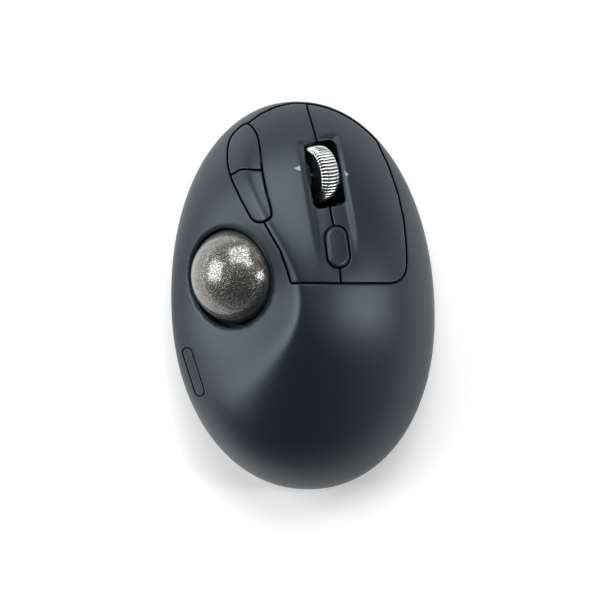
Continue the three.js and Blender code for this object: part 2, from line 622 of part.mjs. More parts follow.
function wheelYoke() {
  const endY = YOKE_END + END_T;
  const cheekLoop = [[-endY, -8.4], [endY, -8.4], [endY, -5.8], [2.8, 1.8], [-2.8, 1.8], [-endY, -5.8]];
  // The cheek outline lies in the Y-Z plane and is extruded along X.
  const stand = new THREE.Matrix4().set(0, 0, 1, 0, 1, 0, 0, 0, 0, 1, 0, 0, 0, 0, 0, 1);
  const cheeks = [-CHEEK_X - CHEEK_T, CHEEK_X].map((x) => prism(cheekLoop, x, x + CHEEK_T, stand));
  const bars = [-YOKE_END - END_T, YOKE_END].map(
    (y) => block(-CHEEK_X - 0.5, CHEEK_X + 0.5, y, y + END_T, -8.4, -5.8));
  const pins = [-1, 1].map((s) => rodY(1, s * (YOKE_END + 0.5), s * (GUIDE_Y + 0.6), 0, PIVOT_Z));
  return cut(join(...cheeks, ...bars, ...pins), rodX(AXLE_R + CLEAR, -20, 20));
}

function wheelCradle() {
  const reach = GUIDE_Y + 0.7;
  const ring = cut(
    block(-7.4, 7.4, -reach, reach, RING_TOP - RING_T, RING_TOP),
    block(-5.6, 5.6, -YOKE_END - 1.5, YOKE_END + 1.5, -20, 0));
  const horns = [-reach, GUIDE_Y - 0.7].map(
    (y) => block(-2.3, 2.3, y, y + reach - GUIDE_Y + 0.7, RING_TOP - 0.5, PIVOT_Z + 0.6));
  const guides = [-1, 1].map(
    (s) => post(0, s * springY, GUIDE_R, SHELF_TOP - 2.4, RING_TOP - RING_T + 0.3));
  return cut(
    join(ring, ...horns, ...guides),
    rodY(1 + CLEAR, -30, 30, 0, PIVOT_Z),
    block(-1.3, 1.3, -30, 30, PIVOT_Z, 0));
}

function wheelBracket() {
  const reach = GUIDE_Y + 1.8;
  const shelf = cut(
    block(-6.6, 7, -reach, reach, SHELF_TOP - 1.6, SHELF_TOP),
    ...[-1, 1].map((s) => post(0, s * springY, GUIDE_R + CLEAR, -60, 0)));
  const placed = shelf.transform(wheelFrame.elements);
  const legs = bracketLegs.map(({ x, y, z }) => post(x, y, BRACKET_LEG_R, FLOOR_TOP, z, undefined, 12));
  return join(placed, ...legs);
}

const boardLoop = follow([
  [-20, 26], [-10.4, 26], [-10.4, 57], [6.5, 57], [6.5, 20], [25.5, 20], [25.5, 42], [21, 51.5], [9, 62.5],
  [2.5, 63.4], [-7, 63.4], [-13, 60], [-20, 51],
]);

function makeMainBoard() {
  return cut(prism(boardLoop, boardZ, boardTop),
    ...boardScrews.map(([x, y]) => post(x, y, 0.9 + CLEAR, 0, 20)),
    ...midLegs.map(([x, y]) => post(x, y, MID_LEG_R + LEG_GAP, 0, 20)),
    ...bracketLegs.map(({ x, y }) => post(x, y, BRACKET_LEG_R + LEG_GAP, 0, 20)));
}

function springCoil(bottom, top) {
  const turns = 4;
  const wire = 0.32;
  const points = [];
  for (let i = 0; i <= turns * 8; i += 1) {
    const a = (i / 8) * 2 * Math.PI;
    const z = bottom + wire + (top - bottom - 2 * wire) * i / (turns * 8);
    points.push(new THREE.Vector3(2 * Math.cos(a), 2 * Math.sin(a), z));
  }
  const section = new THREE.Shape(Array.from({ length: 6 }, (_, i) => new THREE.Vector2(
    wire * Math.cos(i * Math.PI / 3), wire * Math.sin(i * Math.PI / 3))));
  return new THREE.ExtrudeGeometry(section, {
    steps: turns * 8, bevelEnabled: false, extrudePath: new THREE.CatmullRomCurve3(points) });
}

// ---------------------------------------------------------------- switches
function tactBody() {
  const body = block(-TACT.side / 2, TACT.side / 2, -TACT.side / 2, TACT.side / 2, 0, TACT.height);
  return cut(body, post(0, 0, TACT.bore, TACT.height - 1.6, 10));
}
const tactPlunger = () => post(
  0, 0, TACT.plunger, TACT.height - 0.9, TACT.height + TACT.proud, undefined, 16);

function microBody() {
  const [halfX, halfY] = [MICRO.width / 2, MICRO.length / 2];
  const body = block(-halfX, halfX, -halfY, halfY, 0, MICRO.height);
  return cut(body, block(-0.9, 0.9, microPress - 1.7, microPress + 1.7, MICRO.height - 1.6, 20));
}
const microPlunger = () => block(
  -0.6, 0.6, microPress - 1.4, microPress + 1.4, MICRO.height - 0.8, MICRO.height + MICRO.proud);

// ---------------------------------------------------------------- assembly
const mouse = new THREE.Group();
const finish = (color, roughness, metalness) => ({ color, roughness, metalness });
const DARK = finish(0x2c343b, 0.45, 0);
const BLACK = finish(0x17191b, 0.55, 0);
const GREEN = finish(0x1f4a33, 0.6, 0);
const STEEL = finish(0xb4b6b8, 0.3, 1);
const CHROME = finish(0xd8dadb, 0.15, 1);
const RUBBER = finish(0x101112, 0.85, 0);
const WHITE = finish(0xd9dad6, 0.5, 0);

function add(name, solid, look, parent = mouse, position = [0, 0, 0]) {
  let geometry = solid;
  if (!solid.isBufferGeometry) {
    const mesh = solid.getMesh();
    geometry = new THREE.BufferGeometry();
    geometry.setAttribute('position', new THREE.BufferAttribute(mesh.vertProperties, 3));
    geometry.setIndex(new THREE.BufferAttribute(mesh.triVerts, 1));
    geometry.computeVertexNormals();
  }
  const piece = new THREE.Mesh(geometry, new THREE.MeshStandardMaterial(look));
  piece.name = name;
  piece.position.set(...position);
  parent.add(piece);
}

add('top_shell', makeTopShell(), DARK);
add('base_plate', makeBase(), BLACK);
footSpots.forEach(([x, y], i) => {
  const foot = post(0, 0, FOOT_R, 0, FOOT_H, undefined, 18);
  add(`foot_${i + 1}`, foot, RUBBER, mouse, [x, y, 0]);
});
shellScrews.forEach(([x, y], i) => {
  const screw = join(
    post(0, 0, SCREW_HEAD_R, 0, 1.6),
    post(0, 0, SCREW_R, 1, 9, undefined, 14));
  add(`base_screw_${i + 1}`, screw, STEEL, mouse, [x, y, FLOOR_TOP + 0.6 - 1.6 - CLEAR]);
});
add('mid_frame', makeMidFrame(), BLACK);
add('side_bracket', makeSideBracket(), BLACK);
add('main_board', makeMainBoard(), GREEN);
boardScrews.forEach(([x, y], i) => {
  const screw = join(post(0, 0, 1.8, 0, 1.1), post(0, 0, 0.9, -2.2, 0.5, undefined, 12));
  add(`board_screw_${i + 1}`, screw, STEEL, mouse, [x, y, boardTop]);
});
add('mode_switch_board', block(...modeBoard.x, ...modeBoard.y, midTop, midTop + BOARD_T), GREEN);
add('side_switch_board', block(...sidePlate.x, ...sidePlate.y, sideBoardZ, sideBoardZ + BOARD_T), GREEN);
const [cellX, cellY] = [BATTERY.width / 2, BATTERY.length / 2];
add('battery_pack', block(-cellX, cellX, -cellY, cellY, 0, BATTERY.height),
  finish(0x8f9aa6, 0.4, 0.3), mouse, [...batterySpot, FLOOR_TOP]);

add('left_button', makeKey('left'), DARK);
add('right_button', makeKey('right'), DARK);
add('forward_button', makeSideButton('forward'), DARK);
add('back_button', makeSideButton('back'), DARK);
const modeStem = tactTop(midTop + BOARD_T) + CLEAR;
add('mode_button', makeModeButton(modeStem), DARK);
const statusBar = cut(outer, bodySolid(SKIN + 1.2, 3, 0, 40, 9))
  .intersect(tall(STATUS, 0, 11));
add('status_lens', statusBar, finish(0x3a4148, 0.3, 0));

// ball, cup, bearings and the sensor that reads the ball
add('ball_socket', makeBallSocket(), BLACK);
const ballLook = finish(0x6d6b68, 0.25, 0.6);
add('trackball', new THREE.SphereGeometry(BALL_R, 32, 20), ballLook, mouse, ballCentre.toArray());
bearingWays.forEach((way, i) => {
  const bearing = new THREE.SphereGeometry(BEARING_R, 12, 8);
  add(`bearing_${i + 1}`, bearing, WHITE, mouse, fromBall(way, bearingReach).toArray());
});
const sensorGroup = new THREE.Group();
sensorGroup.position.copy(ballCentre);
sensorGroup.quaternion.setFromUnitVectors(new THREE.Vector3(0, 0, 1), sensorWay);
mouse.add(sensorGroup);
add('sensor_lens', post(0, 0, 2.5, 18, 19.5), finish(0xbfd0d8, 0.1, 0), sensorGroup);
add('sensor_chip', block(-3, 3, -3, 3, 19.9, 21.5), BLACK, sensorGroup);
add('sensor_board', block(-6, 6, -6, 6, 21.8, 22.8), GREEN, sensorGroup);

// wheel, its axle and encoder in the tilting yoke, and the yoke in the sprung cradle
add('wheel_bracket', wheelBracket(), BLACK);
const wheelGroup = new THREE.Group();
wheelGroup.position.copy(wheelCentre);
wheelGroup.rotation.copy(wheelTurn);
mouse.add(wheelGroup);
add('wheel_tyre', wheelTyre(), CHROME, wheelGroup);
add('wheel_hub', wheelHub(), BLACK, wheelGroup);
add('wheel_axle', rodX(AXLE_R, -CHEEK_X - CHEEK_T + 0.2, CHEEK_X + CHEEK_T + 1.6), STEEL, wheelGroup);
add('wheel_yoke', wheelYoke(), BLACK, wheelGroup);
add('wheel_cradle', wheelCradle(), BLACK, wheelGroup);
const encoderX = CHEEK_X + CHEEK_T + CLEAR;
const encoder = cut(
  block(encoderX, encoderX + 3.2, -3.2, 3.2, -4, 2.2),
  rodX(AXLE_R + CLEAR, 0, encoderX + 2));
add('wheel_encoder', encoder, finish(0x2b4a7a, 0.5, 0), wheelGroup);
for (const [end, y] of [['front', springY], ['rear', -springY]]) {
  const spring = springCoil(SHELF_TOP + CLEAR, RING_TOP - RING_T - CLEAR);
  add(`cradle_spring_${end}`, spring, STEEL, wheelGroup, [0, y, 0]);
}
const wheelSwitchX = 3.9;
const wheelSwitchZ = RING_TOP - RING_T - CLEAR - TACT.height - TACT.proud;
const shallow = SHELF_TOP + CLEAR - wheelSwitchZ;
const wheelSwitchBody = tactBody().intersect(block(-9, 9, -9, 9, shallow, TACT.height));
add('wheel_switch', wheelSwitchBody, STEEL, wheelGroup, [wheelSwitchX, 0, wheelSwitchZ]);

// switches under the keys and buttons, and the port at the nose
const switches = {
  left: { spot: leftMicro, z: boardTop, micro: true },
  right: { spot: rightMicro, z: boardTop, micro: true },
  forward: { spot: sideButtons.forward.press, z: sideBoardZ + BOARD_T },
  back: { spot: sideButtons.back.press, z: sideBoardZ + BOARD_T },
  mode: { spot: modeSpot, z: midTop + BOARD_T },
};
for (const [name, { spot, z, micro }] of Object.entries(switches)) {
  add(`${name}_switch`, micro ? microBody() : tactBody(), BLACK, mouse, [...spot, z]);
  add(`${name}_plunger`, micro ? microPlunger() : tactPlunger(), WHITE, mouse, [...spot, z]);
}
add('wheel_plunger', tactPlunger(), WHITE, wheelGroup, [wheelSwitchX, 0, wheelSwitchZ]);
const portInside = portHalf - PORT.wall;
const portBody = cut(
  block(-portHalf, portHalf, -PORT.length, 0, 0, PORT.height),
  block(-portInside, portInside, -PORT.length + 1, 1, PORT.wall, PORT.height - PORT.wall));
const tongue = block(-3.3, 3.3, -PORT.length + 0.5, -0.6, PORT.height / 2 - 0.35, PORT.height / 2 + 0.35);
add('usb_c_port', join(portBody, tongue), STEEL, mouse, [portX, portFront, boardTop]);

// power slider and pairing button, worked from below
add('power_switch_body', block(-4, 4, -2, 2, FLOOR_TOP + CLEAR, boardZ), STEEL, mouse, [...powerSpot, 0]);
const slider = block(-2, 2, -1.6, 1.6, 0.8, FLOOR_TOP);
add('power_slider', slider, WHITE, mouse, [powerSpot[0] - POWER_TRAVEL / 2, powerSpot[1], 0]);
add('pairing_switch', post(0, 0, 1.8, boardZ - 0.8, boardZ), STEEL, mouse, [...pairSpot, 0]);
add('pairing_button', post(0, 0, 2, 0.9, 3.3), WHITE, mouse, [...pairSpot, 0]);

export default mouse;
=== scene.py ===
# %% [markdown]
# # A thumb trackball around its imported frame
# The frame holds every part at its real size. This lesson gives the mouse its finished skin:
# panels with rounded edges, a ribbed metal wheel, a flake ball, and a plastic, rubber or metal
# finish for each part inside. Loading the frame first means that every new piece can be placed
# by a part that is already there.
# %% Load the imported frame
import json
import math
import bmesh
import bpy
import numpy as np
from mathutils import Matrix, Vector
from mathutils.geometry import delaunay_2d_cdt


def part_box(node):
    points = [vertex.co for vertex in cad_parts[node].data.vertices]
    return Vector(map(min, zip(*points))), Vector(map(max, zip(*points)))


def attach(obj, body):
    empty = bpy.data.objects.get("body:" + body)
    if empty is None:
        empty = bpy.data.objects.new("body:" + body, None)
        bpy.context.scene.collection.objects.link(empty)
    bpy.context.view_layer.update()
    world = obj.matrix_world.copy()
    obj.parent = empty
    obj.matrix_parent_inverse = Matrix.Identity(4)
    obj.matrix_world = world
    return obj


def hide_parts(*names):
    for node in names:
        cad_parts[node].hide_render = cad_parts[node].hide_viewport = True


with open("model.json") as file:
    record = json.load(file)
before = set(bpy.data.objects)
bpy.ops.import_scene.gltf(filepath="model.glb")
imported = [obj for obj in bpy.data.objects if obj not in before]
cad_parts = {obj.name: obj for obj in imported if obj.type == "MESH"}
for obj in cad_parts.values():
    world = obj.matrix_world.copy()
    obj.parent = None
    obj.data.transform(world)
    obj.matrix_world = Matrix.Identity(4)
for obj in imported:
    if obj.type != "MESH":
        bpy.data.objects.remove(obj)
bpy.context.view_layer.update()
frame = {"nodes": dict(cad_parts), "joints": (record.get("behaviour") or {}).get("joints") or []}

MM = 0.001
print("parts in the frame:", len(frame["nodes"]))

# %% [markdown]
# ## The body surface
# A mouse body is one flowing surface that is later cut into keys and buttons. It could be sculpted,
# or drawn with a few large patches. Here it is a height over each point of the plan, because every
# panel can then ask for its own height, and neighbours always meet in one unbroken curve.
# %% The height of the body over a point of the plan
RIM_Z, SEAM_Z, CREST_Z = 9.0, 5.2, 47.5       # widest line, seam over the base, highest point
CREST_X, CREST_Y, WIDEST_Y = -9.0, -4.0, -4.5
LEAN, OUTLINE_POWER = -0.03, 2.1              # the outline leans left at the nose
HALF_WIDTH, FRONT, REAR = 46.5, 73.0, 64.0    # reach of the outline from its widest line
FALL_FRONT, FALL_REAR = 0.0057, 0.0056        # how fast the crown drops to the nose and the heel
ROLL_RIGHT, ROLL_LEFT, ROLL_HEEL = 0.009, 0.0035, 0.0055
EDGE_POWER = 10                               # how late the crown turns down to the rim
SINK = 0.05                                   # the finished skin lies this far inside the frame's
RIDGE_X, RIDGE_BULGE = -1, 21                 # the ridge beside the thumb, and its bend to the left
RIDGE_Y, RIDGE_LENGTH = -2, 31
SCOOP_SLOPE, SCOOP_REACH = 1.08, 36           # steepness of the thumb's slope, and where it levels off
WHEEL_SPOT, MODE_SPOT = (7.5, 42.1), (11.9, 16.7)
SLOT_HALF_W, SLOT_HALF_L = 5.6, 11.7
TROUGH_DEPTH, TROUGH_LIP = 1.2, 2.2


def ramp(start, end, value):
    """Rises smoothly from 0 at start to 1 at end."""
    t = np.clip((value - start) / (end - start), 0, 1)
    return t * t * (3 - 2 * t)


def plan_share(x, y):
    """0 in the middle of the plan and 1 on the outline."""
    across = np.abs(x - LEAN * (y - WIDEST_Y)) / HALF_WIDTH
    along = np.abs(y - WIDEST_Y) / np.where(y > WIDEST_Y, FRONT, REAR)
    return (across ** OUTLINE_POWER + along ** OUTLINE_POWER) ** (1 / OUTLINE_POWER)


def plan_point(angle, share, inset=0.0):
    """The point in a direction at a share of the outline, drawn in by inset."""
    c, s = np.cos(angle), np.sin(angle)
    reach = share / (np.abs(c) ** OUTLINE_POWER + np.abs(s) ** OUTLINE_POWER) ** (1 / OUTLINE_POWER)
    y = reach * s * (np.where(s > 0, FRONT, REAR) - inset)
    return np.stack([reach * c * (HALF_WIDTH - inset) + LEAN * y, y + WIDEST_Y], -1)


print("outline in mm:", plan_point(np.radians([0, 90, 180, 270]), 1).round(1).tolist())


# %% [markdown]
# The thumb's side is the same crown with a scoop taken out of it. The scoop starts at a ridge that bends
# round the ball, and fades out towards the nose and the heel. A shallow trough round the wheel and the
# mode button is taken out in the same way, so both blend into the skin with no edge of their own.
# %% The scoop, the trough and the skin
def scoop(x, y):
    """Depth of the thumb's scoop."""
    ridge = RIDGE_X - RIDGE_BULGE * (1 - np.exp(-(((y - RIDGE_Y) / RIDGE_LENGTH) ** 2)))
    softness = 1.5 + 16 * ramp(-4, -50, y) + 3 * ramp(40, 60, y)
    past = ridge - x
    reach = (past + np.hypot(past, softness)) / 2
    slope = SCOOP_SLOPE * ramp(-70, -22, y) * (1 - 0.3 * ramp(-10, 50, y))
    return slope * SCOOP_REACH * (1 - np.exp(-reach / SCOOP_REACH))


def trough(x, y):
    """Depth of the trough that runs from the wheel to the mode button."""
    dx, dy = MODE_SPOT[0] - WHEEL_SPOT[0], MODE_SPOT[1] - WHEEL_SPOT[1]
    run = math.hypot(dx, dy)
    along = ((x - WHEEL_SPOT[0]) * dx + (y - WHEEL_SPOT[1]) * dy) / run
    aside = ((x - WHEEL_SPOT[0]) * dy - (y - WHEEL_SPOT[1]) * dx) / run
    side = 1 - ramp(SLOT_HALF_W - 0.4, SLOT_HALF_W + TROUGH_LIP, np.abs(aside))
    front = ramp(-SLOT_HALF_L - TROUGH_LIP, -SLOT_HALF_L, along)
    ends = front * (1 - ramp(run - 12, run + 12, along))
    return TROUGH_DEPTH * side * ends


def skin(x, y):
    """Height of the finished skin."""
    dx, dy = x - CREST_X, y - CREST_Y
    fall = np.where(dy > 0, FALL_FRONT, FALL_REAR)
    roll = np.where(dx > 0, ROLL_RIGHT, ROLL_LEFT + ROLL_HEEL * ramp(-20, -60, y))
    crown = CREST_Z - fall * dy * dy - roll * dx * dx - scoop(x, y) - trough(x, y)
    edge = np.sqrt(1 - np.minimum(plan_share(x, y), 1) ** EDGE_POWER)
    return RIM_Z + (crown - RIM_Z) * edge - SINK


print("height at the crest:", round(float(skin(np.array(CREST_X), np.array(CREST_Y))), 1), "mm")

# %% [markdown]
# ## The seams
# Each seam between two mouldings is a line in plan. Straight lines with sharp corners would look like
# folded card, so the lines are drawn through a few points and smoothed, and each closed line can say
# how far any point lies inside or outside it. That distance later rounds every edge by the same radius.
# %% Lines in plan
def smooth(points, steps, closed=True):
    """A curve through the points, with steps short chords between each two."""
    p = np.array(points, float)
    n = len(p)
    out = []
    for i in range(n if closed else n - 1):
        a, b, c, d = (p[j % n] if closed else p[min(max(j, 0), n - 1)]
                      for j in (i - 1, i, i + 1, i + 2))
        for t in np.linspace(0, 1, steps, endpoint=False):
            out.append(0.5 * (2 * b + (c - a) * t + (2 * a - 5 * b + 4 * c - d) * t ** 2
                              + (3 * b - a - 3 * c + d) * t ** 3))
    if not closed:
        out.append(p[-1])
    return np.array(out)


def resample(loop, step):
    """Cuts each chord of a closed line into pieces of about one step."""
    ends = np.roll(loop, -1, 0)
    lengths = np.linalg.norm(ends - loop, axis=1)
    out = []
    for a, b, length in zip(loop, ends, lengths):
        count = max(1, round(length / step))
        out.extend(a + (b - a) * i / count for i in range(count))
    return np.array(out)


def rounded_box(half_x, half_y, corner, centre, yaw):
    """A turned rectangle with round corners."""
    turn = np.array([[math.cos(yaw), -math.sin(yaw)], [math.sin(yaw), math.cos(yaw)]])
    points = []
    for quarter, (sx, sy) in enumerate(((1, 1), (-1, 1), (-1, -1), (1, -1))):
        for a in np.linspace(quarter, quarter + 1, 13) * math.pi / 2:
            points.append((sx * (half_x - corner) + corner * math.cos(a),
                           sy * (half_y - corner) + corner * math.sin(a)))
    return np.array(points) @ turn.T + np.array(centre)


print("a pill outline has", len(rounded_box(2, 4, 1.9, (0, 0), 0)), "points")


# %% [markdown]
# A panel has to know on which side of each seam a point lies. Counting how often a ray to one side
# crosses the loop answers that for any closed line, however it bends, and the distance to the nearest
# chord says how far away the seam is.
# %% Inside or outside a line
def inside(points, loop):
    """True for each point that lies inside the closed loop."""
    x, y = points[:, 0:1], points[:, 1:2]
    x0, y0 = loop[:, 0], loop[:, 1]
    x1, y1 = np.roll(x0, -1), np.roll(y0, -1)
    spans = (y0 > y) != (y1 > y)
    with np.errstate(divide="ignore", invalid="ignore"):
        crossing = x < (x1 - x0) * (y - y0) / (y1 - y0) + x0
    return (spans & crossing).sum(1) % 2 == 1


def depth_inside(points, loop, chunk=4000):
    """Distance to the loop, positive inside it and negative outside."""
    a, b = loop, np.roll(loop, -1, 0)
    ab = b - a
    square = (ab ** 2).sum(1) + 1e-12
    out = []
    for start in range(0, len(points), chunk):
        p = points[start:start + chunk]
        t = np.clip(((p[:, None] - a) * ab).sum(2) / square, 0, 1)
        gap = np.linalg.norm(p[:, None] - (a + ab * t[..., None]), axis=2).min(1)
        out.append(np.where(inside(p, loop), gap, -gap))
    return np.concatenate(out) if out else np.zeros(0)


UNIT_SQUARE = np.array([(0, 0), (1, 0), (1, 1), (0, 1.0)])
print("the middle of a unit square lies", depth_inside(np.array([(0.5, 0.5)]), UNIT_SQUARE)[0], "inside")

# %% [markdown]
# These are the seams of this mouse, in millimetres from the middle of the body. The front of the keys
# follows the outline itself. A seam that crosses the whole body, such as the split between the keys, is
# closed by going far round one side, so that it can bound a panel like any other.
# %% The seams of this mouse
FAR, FAR_BACK, BESIDE, BEHIND = 90, -60, 60, -10      # corners well clear of the pieces they bound
nose = plan_point(np.radians(np.linspace(53.5, 92.5, 13)), 0.988)
KEYS = np.concatenate([
    [[13.1, 4.1], [30.2, 4.1], [32.6, 4.6], [34.6, 6.0], [35.8, 8.2], [36.2, 11], [36.1, 17]],
    [[35.3, 26]],
    [[33.4, 35.3], [30.1, 45.3], [28, 49.8]], nose,
    [[-9.6, 66.3], [-15.1, 63.6], [-19.4, 60.3], [-20, 50], [-17, 35], [-13.6, 25.3], [-10.4, 19.6]],
    [[-7.8, 15.2], [-5.5, 8.7], [-4.2, 4.1]],
])
SPLIT = smooth([[1.1, 75], [1.2, 67.4], [4.5, 55.1], [6, 48], [9.2, 31], [10.5, 24], [12.7, 9.6],
                [13.1, -2]], 6, closed=False)
CLUSTER = smooth([[-19.3, 60.1], [-16.2, 56.3], [-14.9, 50], [-14.2, 43.5], [-12.8, 36.5], [-11.1, 29.9],
                  [-11.2, 26.9], [-14.2, 25.2], [-17.4, 26.1], [-20, 30.4], [-22.5, 35.3], [-25.4, 42.1],
                  [-26.4, 48.1], [-25.7, 54.5], [-22.6, 58.6]][::-1], 8)
DIVIDER = smooth([[-40, 39.5], [-25.4, 41.9], [-21.5, 43.7], [-14.2, 43.3], [0, 43.3]], 6,
                 closed=False)
SLOT = rounded_box(SLOT_HALF_W, SLOT_HALF_L, 2.4, WHEEL_SPOT, math.radians(9.5))
MODE = rounded_box(3.85, 7.2, 3.8, MODE_SPOT, math.radians(7))
STATUS = rounded_box(1.65, 8.75, 1.6, (-38.45, -26.9), math.radians(18))
OUTLINE = plan_point(np.linspace(0, 2 * math.pi, 720, endpoint=False), 0.9988)
split_front, split_back = SPLIT[0, 0], SPLIT[-1, 0]
LEFT_OF_SPLIT = np.concatenate([SPLIT, [[split_back, FAR_BACK], [-FAR, FAR_BACK],
                                        [-FAR, FAR], [split_front, FAR]]])[::-1]
RIGHT_OF_SPLIT = np.concatenate([SPLIT, [[split_back, FAR_BACK], [FAR, FAR_BACK],
                                         [FAR, FAR], [split_front, FAR]]])
divider_left, divider_right = DIVIDER[0, 1], DIVIDER[-1, 1]
FRONT_OF_DIVIDER = np.concatenate([DIVIDER, [[BESIDE, divider_right], [BESIDE, FAR],
                                             [-BESIDE, FAR], [-BESIDE, divider_left]]])
BACK_OF_DIVIDER = np.concatenate([DIVIDER, [[BESIDE, divider_right], [BESIDE, BEHIND],
                                            [-BESIDE, BEHIND], [-BESIDE, divider_left]]])[::-1]
for title, seam in (("keys", KEYS), ("split", SPLIT), ("side buttons", CLUSTER), ("divider", DIVIDER),
                    ("wheel slot", SLOT), ("mode button", MODE), ("light bar", STATUS)):
    print("seam of the", title, "has", len(seam), "points")

# %% [markdown]
# ## The mouth over the ball
# The ball sits in a round opening that is bored at a slant, square to the thumb's slope. A slanted bore
# leaves no circle in plan, so each point of its rim is found by sliding along the bore until it meets
# the skin. The bore's direction is the line from the middle of the ball through the skin over it.
# %% The slanted bore
ball_low, ball_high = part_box("trackball")
BALL_CENTRE = (np.array(ball_low) + np.array(ball_high)) / 2 / MM
BALL_R = (ball_high.z - ball_low.z) / 2 / MM
MOUTH_R = 17.35
MOUTH_SPOT = np.array([-25.2, 6.2])     # where the bore's axis leaves the skin
SLIDE = (-12.0, 30.0)                   # how far along the bore its rim is looked for
HALVINGS = 40


def skin_normal(x, y, step=0.05):
    """The direction square to the skin."""
    gx = (skin(x + step, y) - skin(x - step, y)) / (2 * step)
    gy = (skin(x, y + step) - skin(x, y - step)) / (2 * step)
    n = np.stack([-gx, -gy, np.ones_like(gx)], -1)
    return n / np.linalg.norm(n, axis=-1, keepdims=True)


bore = skin_normal(*(np.array([v]) for v in MOUTH_SPOT))[0]
across_bore = np.cross(bore, [0, 0, 1.0])
across_bore /= np.linalg.norm(across_bore)
up_bore = np.cross(across_bore, bore)


def bore_rim(radius, count=240):
    """The line in plan where the slanted bore meets the skin."""
    a = np.linspace(0, 2 * math.pi, count, endpoint=False)[:, None]
    ring = BALL_CENTRE + radius * (np.cos(a) * across_bore + np.sin(a) * up_bore)
    low, high = np.full(count, SLIDE[0]), np.full(count, SLIDE[1])
    for _ in range(HALVINGS):
        middle = (low + high) / 2
        p = ring + middle[:, None] * bore
        above = p[:, 2] > skin(p[:, 0], p[:, 1])
        high, low = np.where(above, middle, high), np.where(above, low, middle)
    return (ring + low[:, None] * bore)[:, :2]


MOUTH = bore_rim(MOUTH_R)
print("ball", round(BALL_R, 2), "mm at", BALL_CENTRE.round(2), "bore", bore.round(3))

# %% [markdown]
# ## A panel with rounded edges
# A moulded panel is a thin skin whose edges roll over before they drop into the seam. A bevel modifier
# struggles where many seams cross. Instead the panel is triangulated in plan from rows of points that
# follow each seam at small distances, and each point sinks by its share of a quarter circle. The open
# edge is then pulled down as a wall, so a seam looks deep and dark.
# %% A seam that bounds a panel
GRID = 0.9                                     # distance between points in the middle of a panel
SEAM_STEP = 0.55                               # distance between points along a seam
EDGE_STEPS = (0.0, 0.07, 0.2, 0.42, 0.7, 1.0)  # rows across the rounded edge


def offset_loop(loop, amount):
    """Moves a closed line sideways."""
    before, after = np.roll(loop, 1, 0), np.roll(loop, -1, 0)
    way = after - before
    way /= np.linalg.norm(way, axis=1, keepdims=True) + 1e-12
    return loop + amount * np.stack([way[:, 1], -way[:, 0]], -1)


class Side:
    """One seam that bounds a panel. keep=1 keeps the inside of the loop, keep=-1 its outside."""

    def __init__(self, loop, keep, gap, radius, way=(0, 0, -1)):
        self.loop = resample(loop, SEAM_STEP)
        self.keep, self.gap, self.radius, self.way = keep, gap, radius, np.array(way, float)

    def depth(self, points):
        return self.keep * depth_inside(points, self.loop) - self.gap


print("a seam round the mode button has", len(Side(MODE, 1, 0, 0).loop), "points")

# %% [markdown]
# The points of a panel come in two kinds. The middle is filled with rows in a triangular pattern, since
# even triangles shade most evenly. Every seam then gets its own rows close together, which are joined to
# each other so that the triangles can't cut a corner across the rounded edge.
# %% The points of a panel
ROW_RATIO = 0.87       # height of a triangle over its side
RIM_BAND = 0.93        # share of the plan from which the crowded outline rows take over
RIM_CLEARANCE = 0.12   # outline rows may come this near to an edge
CLEARANCE = 0.45       # share of a step that other points keep from an edge
EDGE_REACH = 0.6       # seam rows run on this far outside the panel


def middle_points(sides, extra, step):
    """Points for the middle of a panel, clear of its rounded edges."""
    lows = np.max([s.loop.min(0) for s in sides if s.keep > 0], 0) - 1
    highs = np.min([s.loop.max(0) for s in sides if s.keep > 0], 0) + 1
    gx, gy = np.meshgrid(np.arange(lows[0], highs[0], step),
                         np.arange(lows[1], highs[1], step * ROW_RATIO))
    gx = gx + (np.arange(gx.shape[0]) % 2)[:, None] * step / 2
    grid = np.stack([gx.ravel(), gy.ravel()], -1)
    if len(extra):
        grid = np.concatenate([grid[plan_share(grid[:, 0], grid[:, 1]) < RIM_BAND], extra])
    clear = np.min([s.depth(grid) - s.radius for s in sides], 0)
    near_rim = plan_share(grid[:, 0], grid[:, 1]) > RIM_BAND
    least = np.where(near_rim & (len(extra) > 0), RIM_CLEARANCE, CLEARANCE * step)
    return grid[clear > least]


def seam_points(sides, count):
    """Rows that follow each seam, and the pairs of their points that stay joined."""
    rows, joined = [], []
    for s in sides:
        for share in EDGE_STEPS if s.radius else (0.0,):
            row = offset_loop(s.loop, -s.keep * (s.gap + share * s.radius))
            near = np.min([t.depth(row) for t in sides], 0) > -EDGE_REACH
            for i in np.flatnonzero(near & np.roll(near, -1)):
                joined.append((count + i, count + (i + 1) % len(row)))
            rows.append(row)
            count += len(row)
    return rows, joined


pill_sides = [Side(MODE, 1, 0.1, 1.3)]
print("the mode button's middle has", len(middle_points(pill_sides, (), GRID)), "points")

# %% [markdown]
# Triangles outside the seams are then dropped, the points near an edge sink by a quarter circle, and the
# open edge is pulled down as a wall. The wall starts with one short row, which keeps the shading of the
# rounded edge from smearing down the wall.
# %% Build one panel
SLIVER = 1e-7          # triangles thinner than this are dropped
MERGE = 1e-4           # points nearer than this become one
WALL = 2.4
WALL_LEVELS = (0.25, 1.0)


def cut_out(verts, faces, sides):
    """Keeps the triangles that lie inside every seam, and the points that they use."""
    faces = np.array([f for f in faces if len(f) == 3])
    middles = verts[faces].mean(1)
    faces = faces[np.min([s.depth(middles) for s in sides], 0) > 0]
    a, b, c = (verts[faces[:, i]] for i in range(3))
    area = (b[:, 0] - a[:, 0]) * (c[:, 1] - a[:, 1]) - (b[:, 1] - a[:, 1]) * (c[:, 0] - a[:, 0])
    faces = faces[np.abs(area) > SLIVER]
    used = np.unique(faces)
    renumber = np.full(len(verts), -1)
    renumber[used] = np.arange(len(used))
    return verts[used], renumber[faces]


